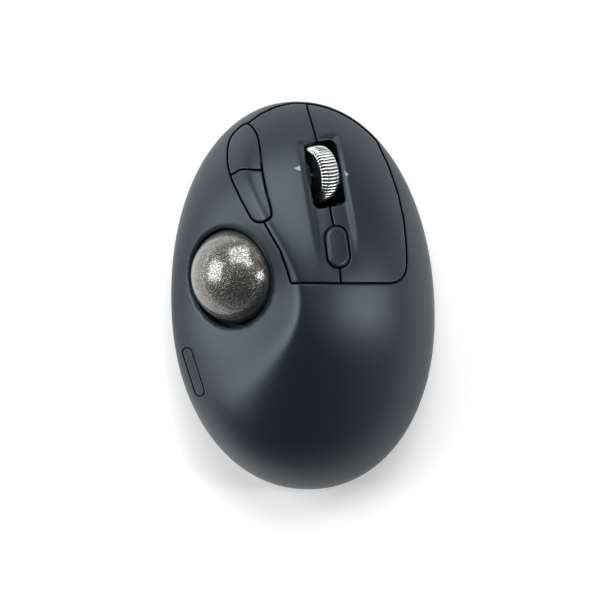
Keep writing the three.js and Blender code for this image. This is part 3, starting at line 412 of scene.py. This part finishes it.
def sink_edges(z, sides, depths):
    """Lowers each point near a seam by its share of a quarter circle."""
    for s, depth in zip(sides, depths):
        if s.radius:
            lost = s.radius - np.clip(depth, 0, s.radius)
            z = z - (s.radius - np.sqrt(np.maximum(s.radius ** 2 - lost ** 2, 0)))
    return z


def pull_wall(name, solid, faces, sides, depths, wall):
    """Pulls the open edge down into a wall and turns the points into a mesh."""
    pairs = np.concatenate([faces[:, [0, 1]], faces[:, [1, 2]], faces[:, [2, 0]]])
    _, first, times = np.unique(np.sort(pairs, 1), axis=0, return_index=True, return_counts=True)
    rim = pairs[first[times == 1]]
    on_rim = np.unique(rim)
    nearest = np.abs(depths[:, on_rim]).argmin(0)
    ways = np.array([sides[i].way for i in nearest])
    below = {}
    verts = list(map(tuple, solid))
    for row, level in enumerate(WALL_LEVELS):
        for vertex, way in zip(on_rim, ways):
            below[(row, vertex)] = len(verts)
            verts.append(tuple(solid[vertex] + way * wall * level))
    quads = []
    for i, j in rim:
        quads.append((j, i, below[(0, i)], below[(0, j)]))
        quads.append((below[(0, j)], below[(0, i)], below[(1, i)], below[(1, j)]))
    return make_mesh(name, verts, [tuple(f) for f in faces] + quads)


def make_panel(name, sides, height, extra=(), wall=WALL, step=GRID):
    """A moulded skin inside its seams, with rounded edges and a wall all round."""
    middle = middle_points(sides, extra, step)
    rows, joined = seam_points(sides, len(middle))
    points = [Vector(p) for p in np.concatenate([middle, *rows])]
    verts, _, faces, *_ = delaunay_2d_cdt(points, joined, [], 0, MERGE)
    verts, faces = cut_out(np.array(verts), faces, sides)
    depths = np.array([s.depth(verts) for s in sides])
    z = sink_edges(height(verts[:, 0], verts[:, 1]), sides, depths)
    return pull_wall(name, np.column_stack([verts, z]), faces, sides, depths, wall)


def make_mesh(name, verts, faces):
    """A smooth piece from points in millimetres."""
    mesh = bpy.data.meshes.new(name)
    mesh.from_pydata([tuple(c * MM for c in v) for v in verts], [],
                     [tuple(int(i) for i in f) for f in faces])
    mesh.update()
    mesh.validate()
    mesh.polygons.foreach_set("use_smooth", [True] * len(mesh.polygons))
    piece = bpy.data.objects.new(name, mesh)
    bpy.context.scene.collection.objects.link(piece)
    return piece


def place(piece, body, node):
    """Says what carries the piece, which part of the frame it replaces."""
    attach(piece, body)
    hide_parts(node)
    print(piece.name, "has", len(piece.data.polygons), "faces")


print("panel maker ready, rows across a rounded edge:", len(EDGE_STEPS))

# %% [markdown]
# ## The palm shell
# The largest moulding covers the palm and wraps down to the seam. Its top is a panel with openings for
# the keys, the side buttons, the light bar and the ball, and its side wall is a band that follows the
# outline. Rows of points crowd together near the outline, where the skin turns steeply downwards.
# %% The palm shell
HALF_SEAM = 0.3                                # each panel stops this far from the seam's line
SHELL_EDGE, KEY_EDGE, CAP_EDGE = 0.35, 0.4, 0.55
MOUTH_EDGE, LENS_EDGE, LENS_GAP = 0.55, 0.3, 0.25
RIM_SHARES = (0.998, 0.9965, 0.994, 0.9905, 0.986, 0.980, 0.973, 0.964, 0.953, 0.941)
SPOKES = 420
spokes = np.linspace(0, 2 * math.pi, SPOKES, endpoint=False)
rim_rows = np.concatenate([plan_point(spokes, share) for share in RIM_SHARES])
shell_sides = [
    Side(OUTLINE, 1, 0, 0),
    Side(KEYS, -1, HALF_SEAM, SHELL_EDGE),
    Side(CLUSTER, -1, HALF_SEAM, SHELL_EDGE),
    Side(STATUS, -1, LENS_GAP, LENS_EDGE),
    Side(MOUTH, -1, 0, MOUTH_EDGE, way=-bore),
]
palm_shell = make_panel("palm_shell", shell_sides, skin, extra=rim_rows)
place(palm_shell, "housing", "top_shell")

# %% [markdown]
# ## The side band
# Below the widest line the shell turns in a little and ends in a small rounded lip over the base. The
# band is swept round the outline, and leaves out the few steps where the charging port shows.
# %% The side band with its port opening
BAND = ((0.07, RIM_Z + 0.2), (0.07, RIM_Z), (0.1, 7.6), (0.2, 5.9), (0.28, 5.5),    # inset, height
        (0.45, 5.28), (0.8, SEAM_Z), (2.2, SEAM_Z))
PORT_CLEARANCE, PORT_SILL = 0.3, 5.9
port_low, port_high = (np.array(v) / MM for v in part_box("usb_c_port"))
port_half = (port_high[0] - port_low[0]) / 2 + PORT_CLEARANCE
port_x = (port_high[0] + port_low[0]) / 2
turns = np.linspace(0, 2 * math.pi, len(OUTLINE), endpoint=False)
widest = plan_point(turns, 1)
band_verts = [(*p, z) for inset, z in BAND for p in plan_point(turns, 1, inset)]
band_faces = []
n = len(turns)
for row, (upper, lower) in enumerate(zip(BAND, BAND[1:])):
    beside_port = PORT_SILL < (upper[1] + lower[1]) / 2 < RIM_Z + 0.1
    for i in range(n):
        j = (i + 1) % n
        x, y = (widest[i] + widest[j]) / 2
        if not (beside_port and y > 0 and abs(x - port_x) < port_half):
            band_faces.append((row * n + j, row * n + i, (row + 1) * n + i, (row + 1) * n + j))
side_band = make_mesh("side_band", band_verts, band_faces)
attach(side_band, "housing")
print("side band faces:", len(band_faces))

# %% [markdown]
# ## The two keys
# The two long keys are cut from the same skin as the palm shell, so each one comes from the same panel
# maker with other seams. Modelling them apart would risk a step at every seam. Their walls are short, so
# that a pressed key clears the port and the wheel.
# %% The two keys
KEY_WALL, KEY_GRID = 1.3, 0.8
key_sides = [Side(KEYS, 1, HALF_SEAM, KEY_EDGE), Side(CLUSTER, -1, HALF_SEAM, SHELL_EDGE),
             Side(SLOT, -1, 0, 0.7), Side(MODE, -1, 0.35, 0.5)]
left_key, right_key = (
    make_panel(name, [*key_sides, Side(half, 1, HALF_SEAM, KEY_EDGE)], skin, wall=KEY_WALL, step=KEY_GRID)
    for name, half in (("left_key", LEFT_OF_SPLIT), ("right_key", RIGHT_OF_SPLIT)))
place(left_key, "left_button", "left_button")
place(right_key, "right_button", "right_button")

# %% [markdown]
# ## The small buttons and the light bar
# The side buttons stand a little proud, so that a thumb finds them without a look. The mode button is a
# softly crowned pill, which is why its edge radius is larger. The light bar lies a little below the skin.
# They could share the keys' height, but then nothing would catch the light along their edges.
# %% The side buttons and the mode button
CAP_PROUD, PILL_PROUD, LENS_SUNK = 0.45, 0.75, 0.15
CAP_GRID, PILL_GRID = 0.6, 0.5
PILL_GAP, PILL_EDGE, BAR_EDGE = 0.1, 1.3, 0.35


def raised(amount):
    """The skin, moved up by an amount."""
    return lambda x, y: skin(x, y) + amount


def side_cap(name, half):
    sides = [Side(CLUSTER, 1, HALF_SEAM, CAP_EDGE), Side(half, 1, HALF_SEAM, CAP_EDGE)]
    return make_panel(name, sides, raised(CAP_PROUD), step=CAP_GRID)


def pill(name, loop, edge, rise):
    return make_panel(name, [Side(loop, 1, PILL_GAP, edge)], raised(rise), step=PILL_GRID)


forward_cap = side_cap("forward_cap", FRONT_OF_DIVIDER)
back_cap = side_cap("back_cap", BACK_OF_DIVIDER)
mode_cap = pill("mode_cap", MODE, PILL_EDGE, PILL_PROUD)
light_bar = pill("light_bar", STATUS, BAR_EDGE, -LENS_SUNK)
place(forward_cap, "forward_button", "forward_button")
place(back_cap, "back_button", "back_button")
place(mode_cap, "mode_button", "mode_button")
place(light_bar, "housing", "status_lens")

# %% [markdown]
# ## The ribbed wheel
# The wheel is a metal tyre with fine ribs across its face, which catch light one by one. The ribs are
# real geometry here, because a bump map would leave the wheel's outline smooth. The profile is turned
# round the axle that the frame gives, and every second strip is sunk to make a dark groove.
# %% The wheel's axle and size
spin = next(j for j in frame["joints"] if j["name"] == "wheel_spin")
hub = np.array(spin["pos_m"]) / MM
axle = np.array(spin["axis"], float)
axle /= np.linalg.norm(axle)
tyre_co = np.array([v.co for v in frame["nodes"]["wheel_tyre"].data.vertices]) / MM - hub
WHEEL_R = np.linalg.norm(tyre_co - np.outer(tyre_co @ axle, axle), axis=1).max() - 0.04
WHEEL_HALF = np.abs(tyre_co @ axle).max() - 0.02      # both a hair inside the frame's tyre
wheel_a = np.cross(axle, [0, 0, 1.0])
wheel_a /= np.linalg.norm(wheel_a)
wheel_b = np.cross(axle, wheel_a)
print("wheel radius", round(WHEEL_R, 2), "mm, half width", round(WHEEL_HALF, 2), "mm")

# %% The ribs
RIBS, GROOVE = 50, 0.55
RIB_PROFILE = ((0.0, 1.0), (0.14, 0.45), (0.30, 0.0),          # share of a rib's turn, share of its depth
               (0.62, 0.0), (0.78, 0.45), (0.90, 1.0))
HALF_PROFILE = ((0.4, -0.08, 1), (0.76, -0.26, 1), (0.93, -0.84, 1),    # share of the width, drop, ribbed
                (1.0, -1.1, 0), (0.93, -2.5, 0))
PROFILE = [(-w, d, r) for w, d, r in HALF_PROFILE[::-1]] + [(0, 0, 1), *HALF_PROFILE]
wheel_verts, sunk = [], []
for rib in range(RIBS):
    for along, deep in RIB_PROFILE:
        angle = (rib + along) / RIBS * 2 * math.pi
        out = math.cos(angle) * wheel_a + math.sin(angle) * wheel_b
        for width, drop, ribbed in PROFILE:
            radius = WHEEL_R + drop - GROOVE * deep * ribbed
            wheel_verts.append(hub + width * WHEEL_HALF * axle + radius * out)
            sunk.append(deep * ribbed)
rows, wide = RIBS * len(RIB_PROFILE), len(PROFILE)
wheel_faces = [(r * wide + k, ((r + 1) % rows) * wide + k, ((r + 1) % rows) * wide + k + 1, r * wide + k + 1)
               for r in range(rows) for k in range(wide - 1)]
wheel_faces += [((r + 1) % rows * wide, r * wide, r * wide + wide - 1, (r + 1) % rows * wide + wide - 1)
                for r in range(rows)]
ribbed_tyre = make_mesh("ribbed_tyre", wheel_verts, wheel_faces)
# Each point's share of the groove depth; the wheel's finish paints shade into the grooves from it.
groove_mask = ribbed_tyre.data.attributes.new("groove", "FLOAT", "POINT")
groove_mask.data.foreach_set("value", sunk)
place(ribbed_tyre, "wheel", "wheel_tyre")

# %% [markdown]
# ## The ball
# The ball is a true sphere, so its shape needs only enough faces. It is made from a subdivided
# icosahedron, whose faces are all alike, so its highlight stays round wherever it lies.
# %% The ball
BALL_SPLITS, BALL_SHRINK = 6, 0.01
ball_mesh = bmesh.new()
bmesh.ops.create_icosphere(ball_mesh, subdivisions=BALL_SPLITS, radius=(BALL_R - BALL_SHRINK) * MM)
for face in ball_mesh.faces:
    face.smooth = True
bmesh.ops.translate(ball_mesh, verts=ball_mesh.verts, vec=Vector(BALL_CENTRE * MM))
flake_ball = bpy.data.objects.new("flake_ball", bpy.data.meshes.new("flake_ball"))
ball_mesh.to_mesh(flake_ball.data)
ball_mesh.free()
bpy.context.scene.collection.objects.link(flake_ball)
place(flake_ball, "ball", "trackball")

# %% [markdown]
# ## Printed arrows
# Two small arrows beside the wheel say that it tilts. Printing has no thickness to speak of, so each
# arrow is a thin flat mesh that lies on the skin and moves with its key.
# %% The printed arrows
ARROWS = {
    "left_arrow": ([(-3.15, 44.03), (-1.09, 45.08), (-0.88, 43.15)], "left_button"),
    "right_arrow": ([(14.33, 43.29), (15.91, 42.1), (15.03, 41.26)], "right_button"),
}
INK_LIFT, INK_STEP = 0.03, 0.3
INK_RINGS = (1.0, 0.66, 0.33)      # rings of points towards the arrow's middle
arrow_pieces = []
for name, (corners, body) in ARROWS.items():
    loop = resample(np.array(corners), INK_STEP)
    centre = loop.mean(0)
    rings = [centre + (loop - centre) * share for share in INK_RINGS]
    flat = np.concatenate([*rings, [centre]])
    lifted = np.column_stack([flat, skin(flat[:, 0], flat[:, 1]) + INK_LIFT])
    n = len(loop)
    faces = [(r * n + i, r * n + (i + 1) % n, (r + 1) * n + (i + 1) % n, (r + 1) * n + i)
             for r in range(2) for i in range(n)]
    faces += [(2 * n + i, 2 * n + (i + 1) % n, 3 * n) for i in range(n)]
    arrow = make_mesh(name, lifted, faces)
    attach(arrow, body)
    arrow_pieces.append(arrow)
print("arrows:", [a.name for a in arrow_pieces])

# %% [markdown]
# ## Finishes
# Each finish is a small node tree. A plain colour would look like wet clay, so every finish gets a fine
# texture at its real scale: spark grain on the plastic, flakes in the ball, fine grain on the steel. The
# noise is read in object space, in metres, so its scale is a real one on every piece.
# %% A helper for finishes
WEAR_SCALE, WEAR = 60, 0.07        # large soft patches where the roughness drifts
RELIEF = 0.0001                    # depth of the grain in metres


def new_material(name):
    """An empty finish with its shader, its nodes and its links."""
    material = bpy.data.materials.new(name)
    material.use_nodes = True
    nodes = material.node_tree.nodes
    return material, nodes["Principled BSDF"], nodes, material.node_tree.links


def add_relief(nodes, links, shader, height, strength):
    """Feeds a height into the shader's normal."""
    relief = nodes.new("ShaderNodeBump")
    relief.inputs["Strength"].default_value = strength
    relief.inputs["Distance"].default_value = RELIEF
    links.new(height, relief.inputs["Height"])
    links.new(relief.outputs["Normal"], shader.inputs["Normal"])


def finish(name, colour, rough, metal=0.0, grain=4000.0, bump=0.02, vary=0.15, coat=0.0,
           sheen_tint=(1, 1, 1)):
    """A principled finish with grain in its colour, its roughness and its bump."""
    material, shader, nodes, links = new_material(name)
    shader.inputs["Metallic"].default_value = metal
    shader.inputs["Coat Weight"].default_value = coat
    shader.inputs["Coat Roughness"].default_value = 0.1
    shader.inputs["Specular Tint"].default_value = (*sheen_tint, 1)
    where = nodes.new("ShaderNodeTexCoord")
    noise = nodes.new("ShaderNodeTexNoise")
    noise.inputs["Scale"].default_value = grain
    noise.inputs["Detail"].default_value = 3
    links.new(where.outputs["Object"], noise.inputs["Vector"])
    shades = nodes.new("ShaderNodeValToRGB")
    shades.color_ramp.elements[0].position = 0.3
    shades.color_ramp.elements[1].position = 0.7
    shades.color_ramp.elements[0].color = (*[c * (1 - vary) for c in colour], 1)
    shades.color_ramp.elements[1].color = (*[min(c * (1 + vary), 1) for c in colour], 1)
    links.new(noise.outputs["Fac"], shades.inputs["Fac"])
    links.new(shades.outputs["Color"], shader.inputs["Base Color"])
    wear = nodes.new("ShaderNodeTexNoise")
    wear.inputs["Scale"].default_value = WEAR_SCALE
    links.new(where.outputs["Object"], wear.inputs["Vector"])
    spread = nodes.new("ShaderNodeMapRange")
    spread.inputs["To Min"].default_value = rough * (1 - WEAR)
    spread.inputs["To Max"].default_value = rough * (1 + WEAR)
    links.new(wear.outputs["Fac"], spread.inputs["Value"])
    links.new(spread.outputs["Result"], shader.inputs["Roughness"])
    if bump:
        add_relief(nodes, links, shader, noise.outputs["Fac"], bump)
    return material


def wear_finish(piece, material):
    """Gives a piece one finish."""
    piece.data.materials.clear()
    piece.data.materials.append(material)


print("finish helper ready: grain depth", RELIEF / MM, "mm, roughness drifts by", WEAR)

# %% [markdown]
# ## The plastics of the outside
# The mouldings are a dark blue-grey plastic with a fine spark grain, which gives wide satin highlights
# with a cool tone. One finish serves the shell, the keys and the side buttons, since they come from one
# batch of plastic. The mode button is a shade smoother, and the light bar is a smoked lens.
# %% The plastics of the outside
COOL = (0.74, 0.88, 1.0)           # tone of the highlights
SPARK = 5200                       # grain cells per metre
palm_plastic = finish("palm_plastic", (0.011, 0.0165, 0.0205), 0.38, grain=SPARK, bump=0.10, vary=0.12,
                      sheen_tint=COOL)
pill_plastic = finish("pill_plastic", (0.011, 0.016, 0.020), 0.34, grain=SPARK, bump=0.08, vary=0.12,
                      sheen_tint=COOL)
smoked_lens = finish("smoked_lens", (0.010, 0.012, 0.014), 0.36, grain=900, bump=0.0, vary=0.25,
                     sheen_tint=COOL)
arrow_ink = finish("arrow_ink", (0.30, 0.32, 0.33), 0.5, grain=6000, bump=0.05, vary=0.1)
for piece in (palm_shell, side_band, left_key, right_key, forward_cap, back_cap):
    wear_finish(piece, palm_plastic)
wear_finish(mode_cap, pill_plastic)
wear_finish(light_bar, smoked_lens)
for arrow in arrow_pieces:
    wear_finish(arrow, arrow_ink)
print("outside plastics:", [m.name for m in (palm_plastic, pill_plastic, smoked_lens, arrow_ink)])

# %% [markdown]
# ## The flake ball
# The ball's coat holds tiny metal flakes under a clear layer. Each cell of a fine cell pattern becomes
# one flake with its own brightness and its own small tilt, and the clear coat on top stays smooth.
# %% The flake coat
FLAKES = 5200                      # flake cells per metre
FLAKE_TILT = 0.35
DARK_FLAKE, MIDDLE_FLAKE, BRIGHT_FLAKE = (0.03, 0.03, 0.03), (0.14, 0.138, 0.132), (0.62, 0.61, 0.57)


def flake_coat():
    """A grey metallic coat whose cells each have their own brightness and tilt."""
    material, shader, nodes, links = new_material("flake_coat")
    shader.inputs["Metallic"].default_value = 0.75
    shader.inputs["Roughness"].default_value = 0.25
    shader.inputs["Coat Weight"].default_value = 0.8
    shader.inputs["Coat Roughness"].default_value = 0.08
    where = nodes.new("ShaderNodeTexCoord")
    cells = nodes.new("ShaderNodeTexVoronoi")
    cells.inputs["Scale"].default_value = FLAKES
    links.new(where.outputs["Object"], cells.inputs["Vector"])
    split = nodes.new("ShaderNodeSeparateColor")
    links.new(cells.outputs["Color"], split.inputs["Color"])
    shades = nodes.new("ShaderNodeValToRGB")
    steps = shades.color_ramp.elements
    steps[0].position, steps[0].color = 0.0, (*DARK_FLAKE, 1)
    steps[1].position, steps[1].color = 1.0, (*BRIGHT_FLAKE, 1)
    steps.new(0.72).color = (*MIDDLE_FLAKE, 1)
    links.new(split.outputs["Red"], shades.inputs["Fac"])
    links.new(shades.outputs["Color"], shader.inputs["Base Color"])
    add_relief(nodes, links, shader, split.outputs["Green"], FLAKE_TILT)
    return material


wear_finish(flake_ball, flake_coat())
print("flakes about", round(1 / FLAKES / MM, 2), "mm across")

# %% [markdown]
# ## The wheel's metal
# The ribs are polished on top, and the grooves are painted near black, which paints in the shade that falls
# in them. The wheel's mesh carries a number per point that says how deep it lies, so one material can turn
# from metal to this painted shade.
# %% The wheel's finish
# The depth over which the metal turns to near-black painted shade in the grooves.
GROOVE_START, GROOVE_END = 0.25, 0.5      # depth over which metal turns to black


def rib_metal():
    """Polished metal on the ribs, and near-black painted shade in the grooves."""
    material = finish("rib_metal", (0.80, 0.81, 0.82), 0.24, metal=1.0, grain=3000, bump=0.05, vary=0.06)
    nodes, links = material.node_tree.nodes, material.node_tree.links
    shader = nodes["Principled BSDF"]
    depth = nodes.new("ShaderNodeAttribute")
    depth.attribute_name = "groove"
    # This near-black shader is painted shade for the grooves, on top of their real depth.
    black = nodes.new("ShaderNodeBsdfPrincipled")
    black.inputs["Base Color"].default_value = (0.008, 0.008, 0.008, 1)
    black.inputs["Roughness"].default_value = 0.6
    sharp = nodes.new("ShaderNodeMapRange")
    sharp.inputs["From Min"].default_value = GROOVE_START
    sharp.inputs["From Max"].default_value = GROOVE_END
    links.new(depth.outputs["Fac"], sharp.inputs["Value"])
    blend = nodes.new("ShaderNodeMixShader")
    links.new(sharp.outputs["Result"], blend.inputs["Fac"])
    links.new(shader.outputs["BSDF"], blend.inputs[1])
    links.new(black.outputs["BSDF"], blend.inputs[2])
    links.new(blend.outputs["Shader"], nodes["Material Output"].inputs["Surface"])
    return material


wear_finish(ribbed_tyre, rib_metal())
print("wheel finish:", ribbed_tyre.data.materials[0].name)

# %% [markdown]
# ## The parts inside and below
# Most inner parts are plain mouldings and bought parts, and their shape is already right. They keep their
# frame mesh and only get a finish, chosen by the part's name.
# %% Finishes for the frame's own parts
inner = {
    "black": finish("black_moulding", (0.012, 0.013, 0.014), 0.5, grain=3000, bump=0.1, vary=0.2),
    "rubber": finish("foot_rubber", (0.02, 0.02, 0.021), 0.75, grain=2500, bump=0.2, vary=0.2),
    "board": finish("board_green", (0.012, 0.07, 0.035), 0.45, grain=900, bump=0.05, vary=0.25),
    "steel": finish("bright_steel", (0.58, 0.59, 0.60), 0.28, metal=1.0, grain=2500, bump=0.05, vary=0.08),
    "switch": finish("switch_black", (0.02, 0.02, 0.022), 0.42, grain=3500, bump=0.05, vary=0.2),
    "white": finish("white_nylon", (0.72, 0.72, 0.69), 0.45, grain=3000, bump=0.05, vary=0.05),
    "wrap": finish("battery_wrap", (0.30, 0.34, 0.40), 0.4, grain=1200, bump=0.04, vary=0.1),
    "lens": finish("clear_resin", (0.45, 0.5, 0.52), 0.12, grain=900, bump=0.0, vary=0.05, coat=0.5),
    "blue": finish("encoder_blue", (0.03, 0.08, 0.22), 0.45, grain=2500, bump=0.05, vary=0.15),
}
FINISH_OF_WORD = {         # the first word that a part's name holds decides
    "screw": "steel", "plunger": "white", "pairing_button": "white", "foot": "rubber", "board": "board",
    "spring": "steel", "axle": "steel", "port": "steel", "battery": "wrap", "bearing": "white",
    "lens": "lens", "encoder": "blue", "slider": "white", "switch": "switch",
}
dressed = 0
for name, node in frame["nodes"].items():
    if not node.hide_render:
        word = next((w for w in FINISH_OF_WORD if w in name), None)
        wear_finish(node, inner[FINISH_OF_WORD[word] if word else "black"])
        dressed += 1
print("frame parts dressed:", dressed)

# %% [markdown]
# ## The floor
# The mouse lies on a pale sheet that runs out to the horizon. More light on the object would turn the
# sheet white, but would wash out the plastic too. Instead the sheet glows a little, only where it is seen
# by the camera, in a reflection or through something clear, and so it still shows the mouse's shadow.
# %% The floor
FLOOR_HALF = 3.0
FLOOR_GLOW = 0.28
SHEET_GREY = 0.9


def make_floor():
    corners = [(x * FLOOR_HALF, y * FLOOR_HALF, 0) for x, y in ((-1, -1), (1, -1), (1, 1), (-1, 1))]
    mesh = bpy.data.meshes.new("floor")
    mesh.from_pydata(corners, [], [(0, 1, 2, 3)])
    floor = bpy.data.objects.new("floor", mesh)
    bpy.context.scene.collection.objects.link(floor)
    material, sheet, nodes, links = new_material("pale_sheet")
    sheet.inputs["Base Color"].default_value = (SHEET_GREY, SHEET_GREY, SHEET_GREY, 1)
    sheet.inputs["Roughness"].default_value = 0.9
    sheet.inputs["Specular IOR Level"].default_value = 0.1
    sheet.inputs["Emission Color"].default_value = (1, 1, 1, 1)
    seen = nodes.new("ShaderNodeLightPath")
    shown = seen.outputs["Is Camera Ray"]
    for ray in ("Is Glossy Ray", "Is Transmission Ray"):
        either = nodes.new("ShaderNodeMath")
        either.operation = "MAXIMUM"
        links.new(shown, either.inputs[0])
        links.new(seen.outputs[ray], either.inputs[1])
        shown = either.outputs[0]
    level = nodes.new("ShaderNodeMath")
    level.operation = "MULTIPLY"
    level.inputs[1].default_value = FLOOR_GLOW
    links.new(shown, level.inputs[0])
    links.new(level.outputs[0], sheet.inputs["Emission Strength"])
    floor.data.materials.append(material)


make_floor()
print("floor", 2 * FLOOR_HALF, "m wide, glow", FLOOR_GLOW)

# %% [markdown]
# ## Lamps and room
# Soft satin plastic shows its shape through the edges of large lamps. One lamp at the left lights the
# thumb's scoop, one at the front draws the long light over the palm, and a narrow one at the right marks
# the far edge. A small high lamp adds a point of light to the ball. The room is darker overhead than near
# the horizon, so that the plastic keeps its depth.
# %% Lamps and room
AIM = (0, 0, 0.02)
LAMPS = {      # place, size and power
    "left_lamp": ((-0.85, 0.15, 0.50), (0.70, 0.60), 7.5),
    "front_lamp": ((-0.02, 0.85, 0.72), (0.80, 0.75), 9.0),
    "high_lamp": ((0.32, 0.49, 0.81), (0.28, 0.28), 1.3),
    "right_lamp": ((0.80, 0.00, 0.55), (0.25, 0.50), 3.4),
}
for name, (spot, size, watts) in LAMPS.items():
    lamp = bpy.data.lights.new(name, "AREA")
    lamp.shape, lamp.size, lamp.size_y = "RECTANGLE", *size
    lamp.energy = watts
    holder = bpy.data.objects.new(name, lamp)
    holder.location = spot
    holder.rotation_mode = "QUATERNION"
    holder.rotation_quaternion = (Vector(AIM) - Vector(spot)).to_track_quat("-Z", "Y")
    bpy.context.scene.collection.objects.link(holder)

world = bpy.data.worlds.new("room")
bpy.context.scene.world = world
world.use_nodes = True
room, room_links = world.node_tree.nodes, world.node_tree.links
direction = room.new("ShaderNodeTexCoord")
split_way = room.new("ShaderNodeSeparateXYZ")
heights = room.new("ShaderNodeValToRGB")
room_links.new(direction.outputs["Generated"], split_way.inputs["Vector"])
room_links.new(split_way.outputs["Z"], heights.inputs["Fac"])
room_links.new(heights.outputs["Color"], room["Background"].inputs["Color"])
steps = heights.color_ramp.elements
steps[0].position, steps[0].color = 0.10, (0.40, 0.40, 0.40, 1)
steps[1].position, steps[1].color = 0.55, (0.03, 0.032, 0.034, 1)
print("lamps:", list(LAMPS), "in all", sum(watts for *_, watts in LAMPS.values()), "W")

# %% [markdown]
# ## The camera
# The camera looks straight down from far away through a long lens, so the plan hardly tapers. Its
# distance follows from the width that the picture should cover.
# %% The camera
FRAME_WIDTH, FRAME_MIDDLE, SUBJECT_Z = 0.21024, (-0.00105, -0.00166), 0.02
SENSOR, LENS = 36, 257
camera_data = bpy.data.cameras.new("overhead")
camera_data.sensor_width, camera_data.lens = SENSOR, LENS
camera = bpy.data.objects.new("overhead", camera_data)
distance = FRAME_WIDTH * camera_data.lens / camera_data.sensor_width
camera.location = (*FRAME_MIDDLE, SUBJECT_Z + distance)
camera_data.clip_end = 20
bpy.context.scene.collection.objects.link(camera)
bpy.context.scene.camera = camera
bpy.context.scene.view_settings.view_transform = "Standard"
print("camera", round(distance, 2), "m above the mouse")
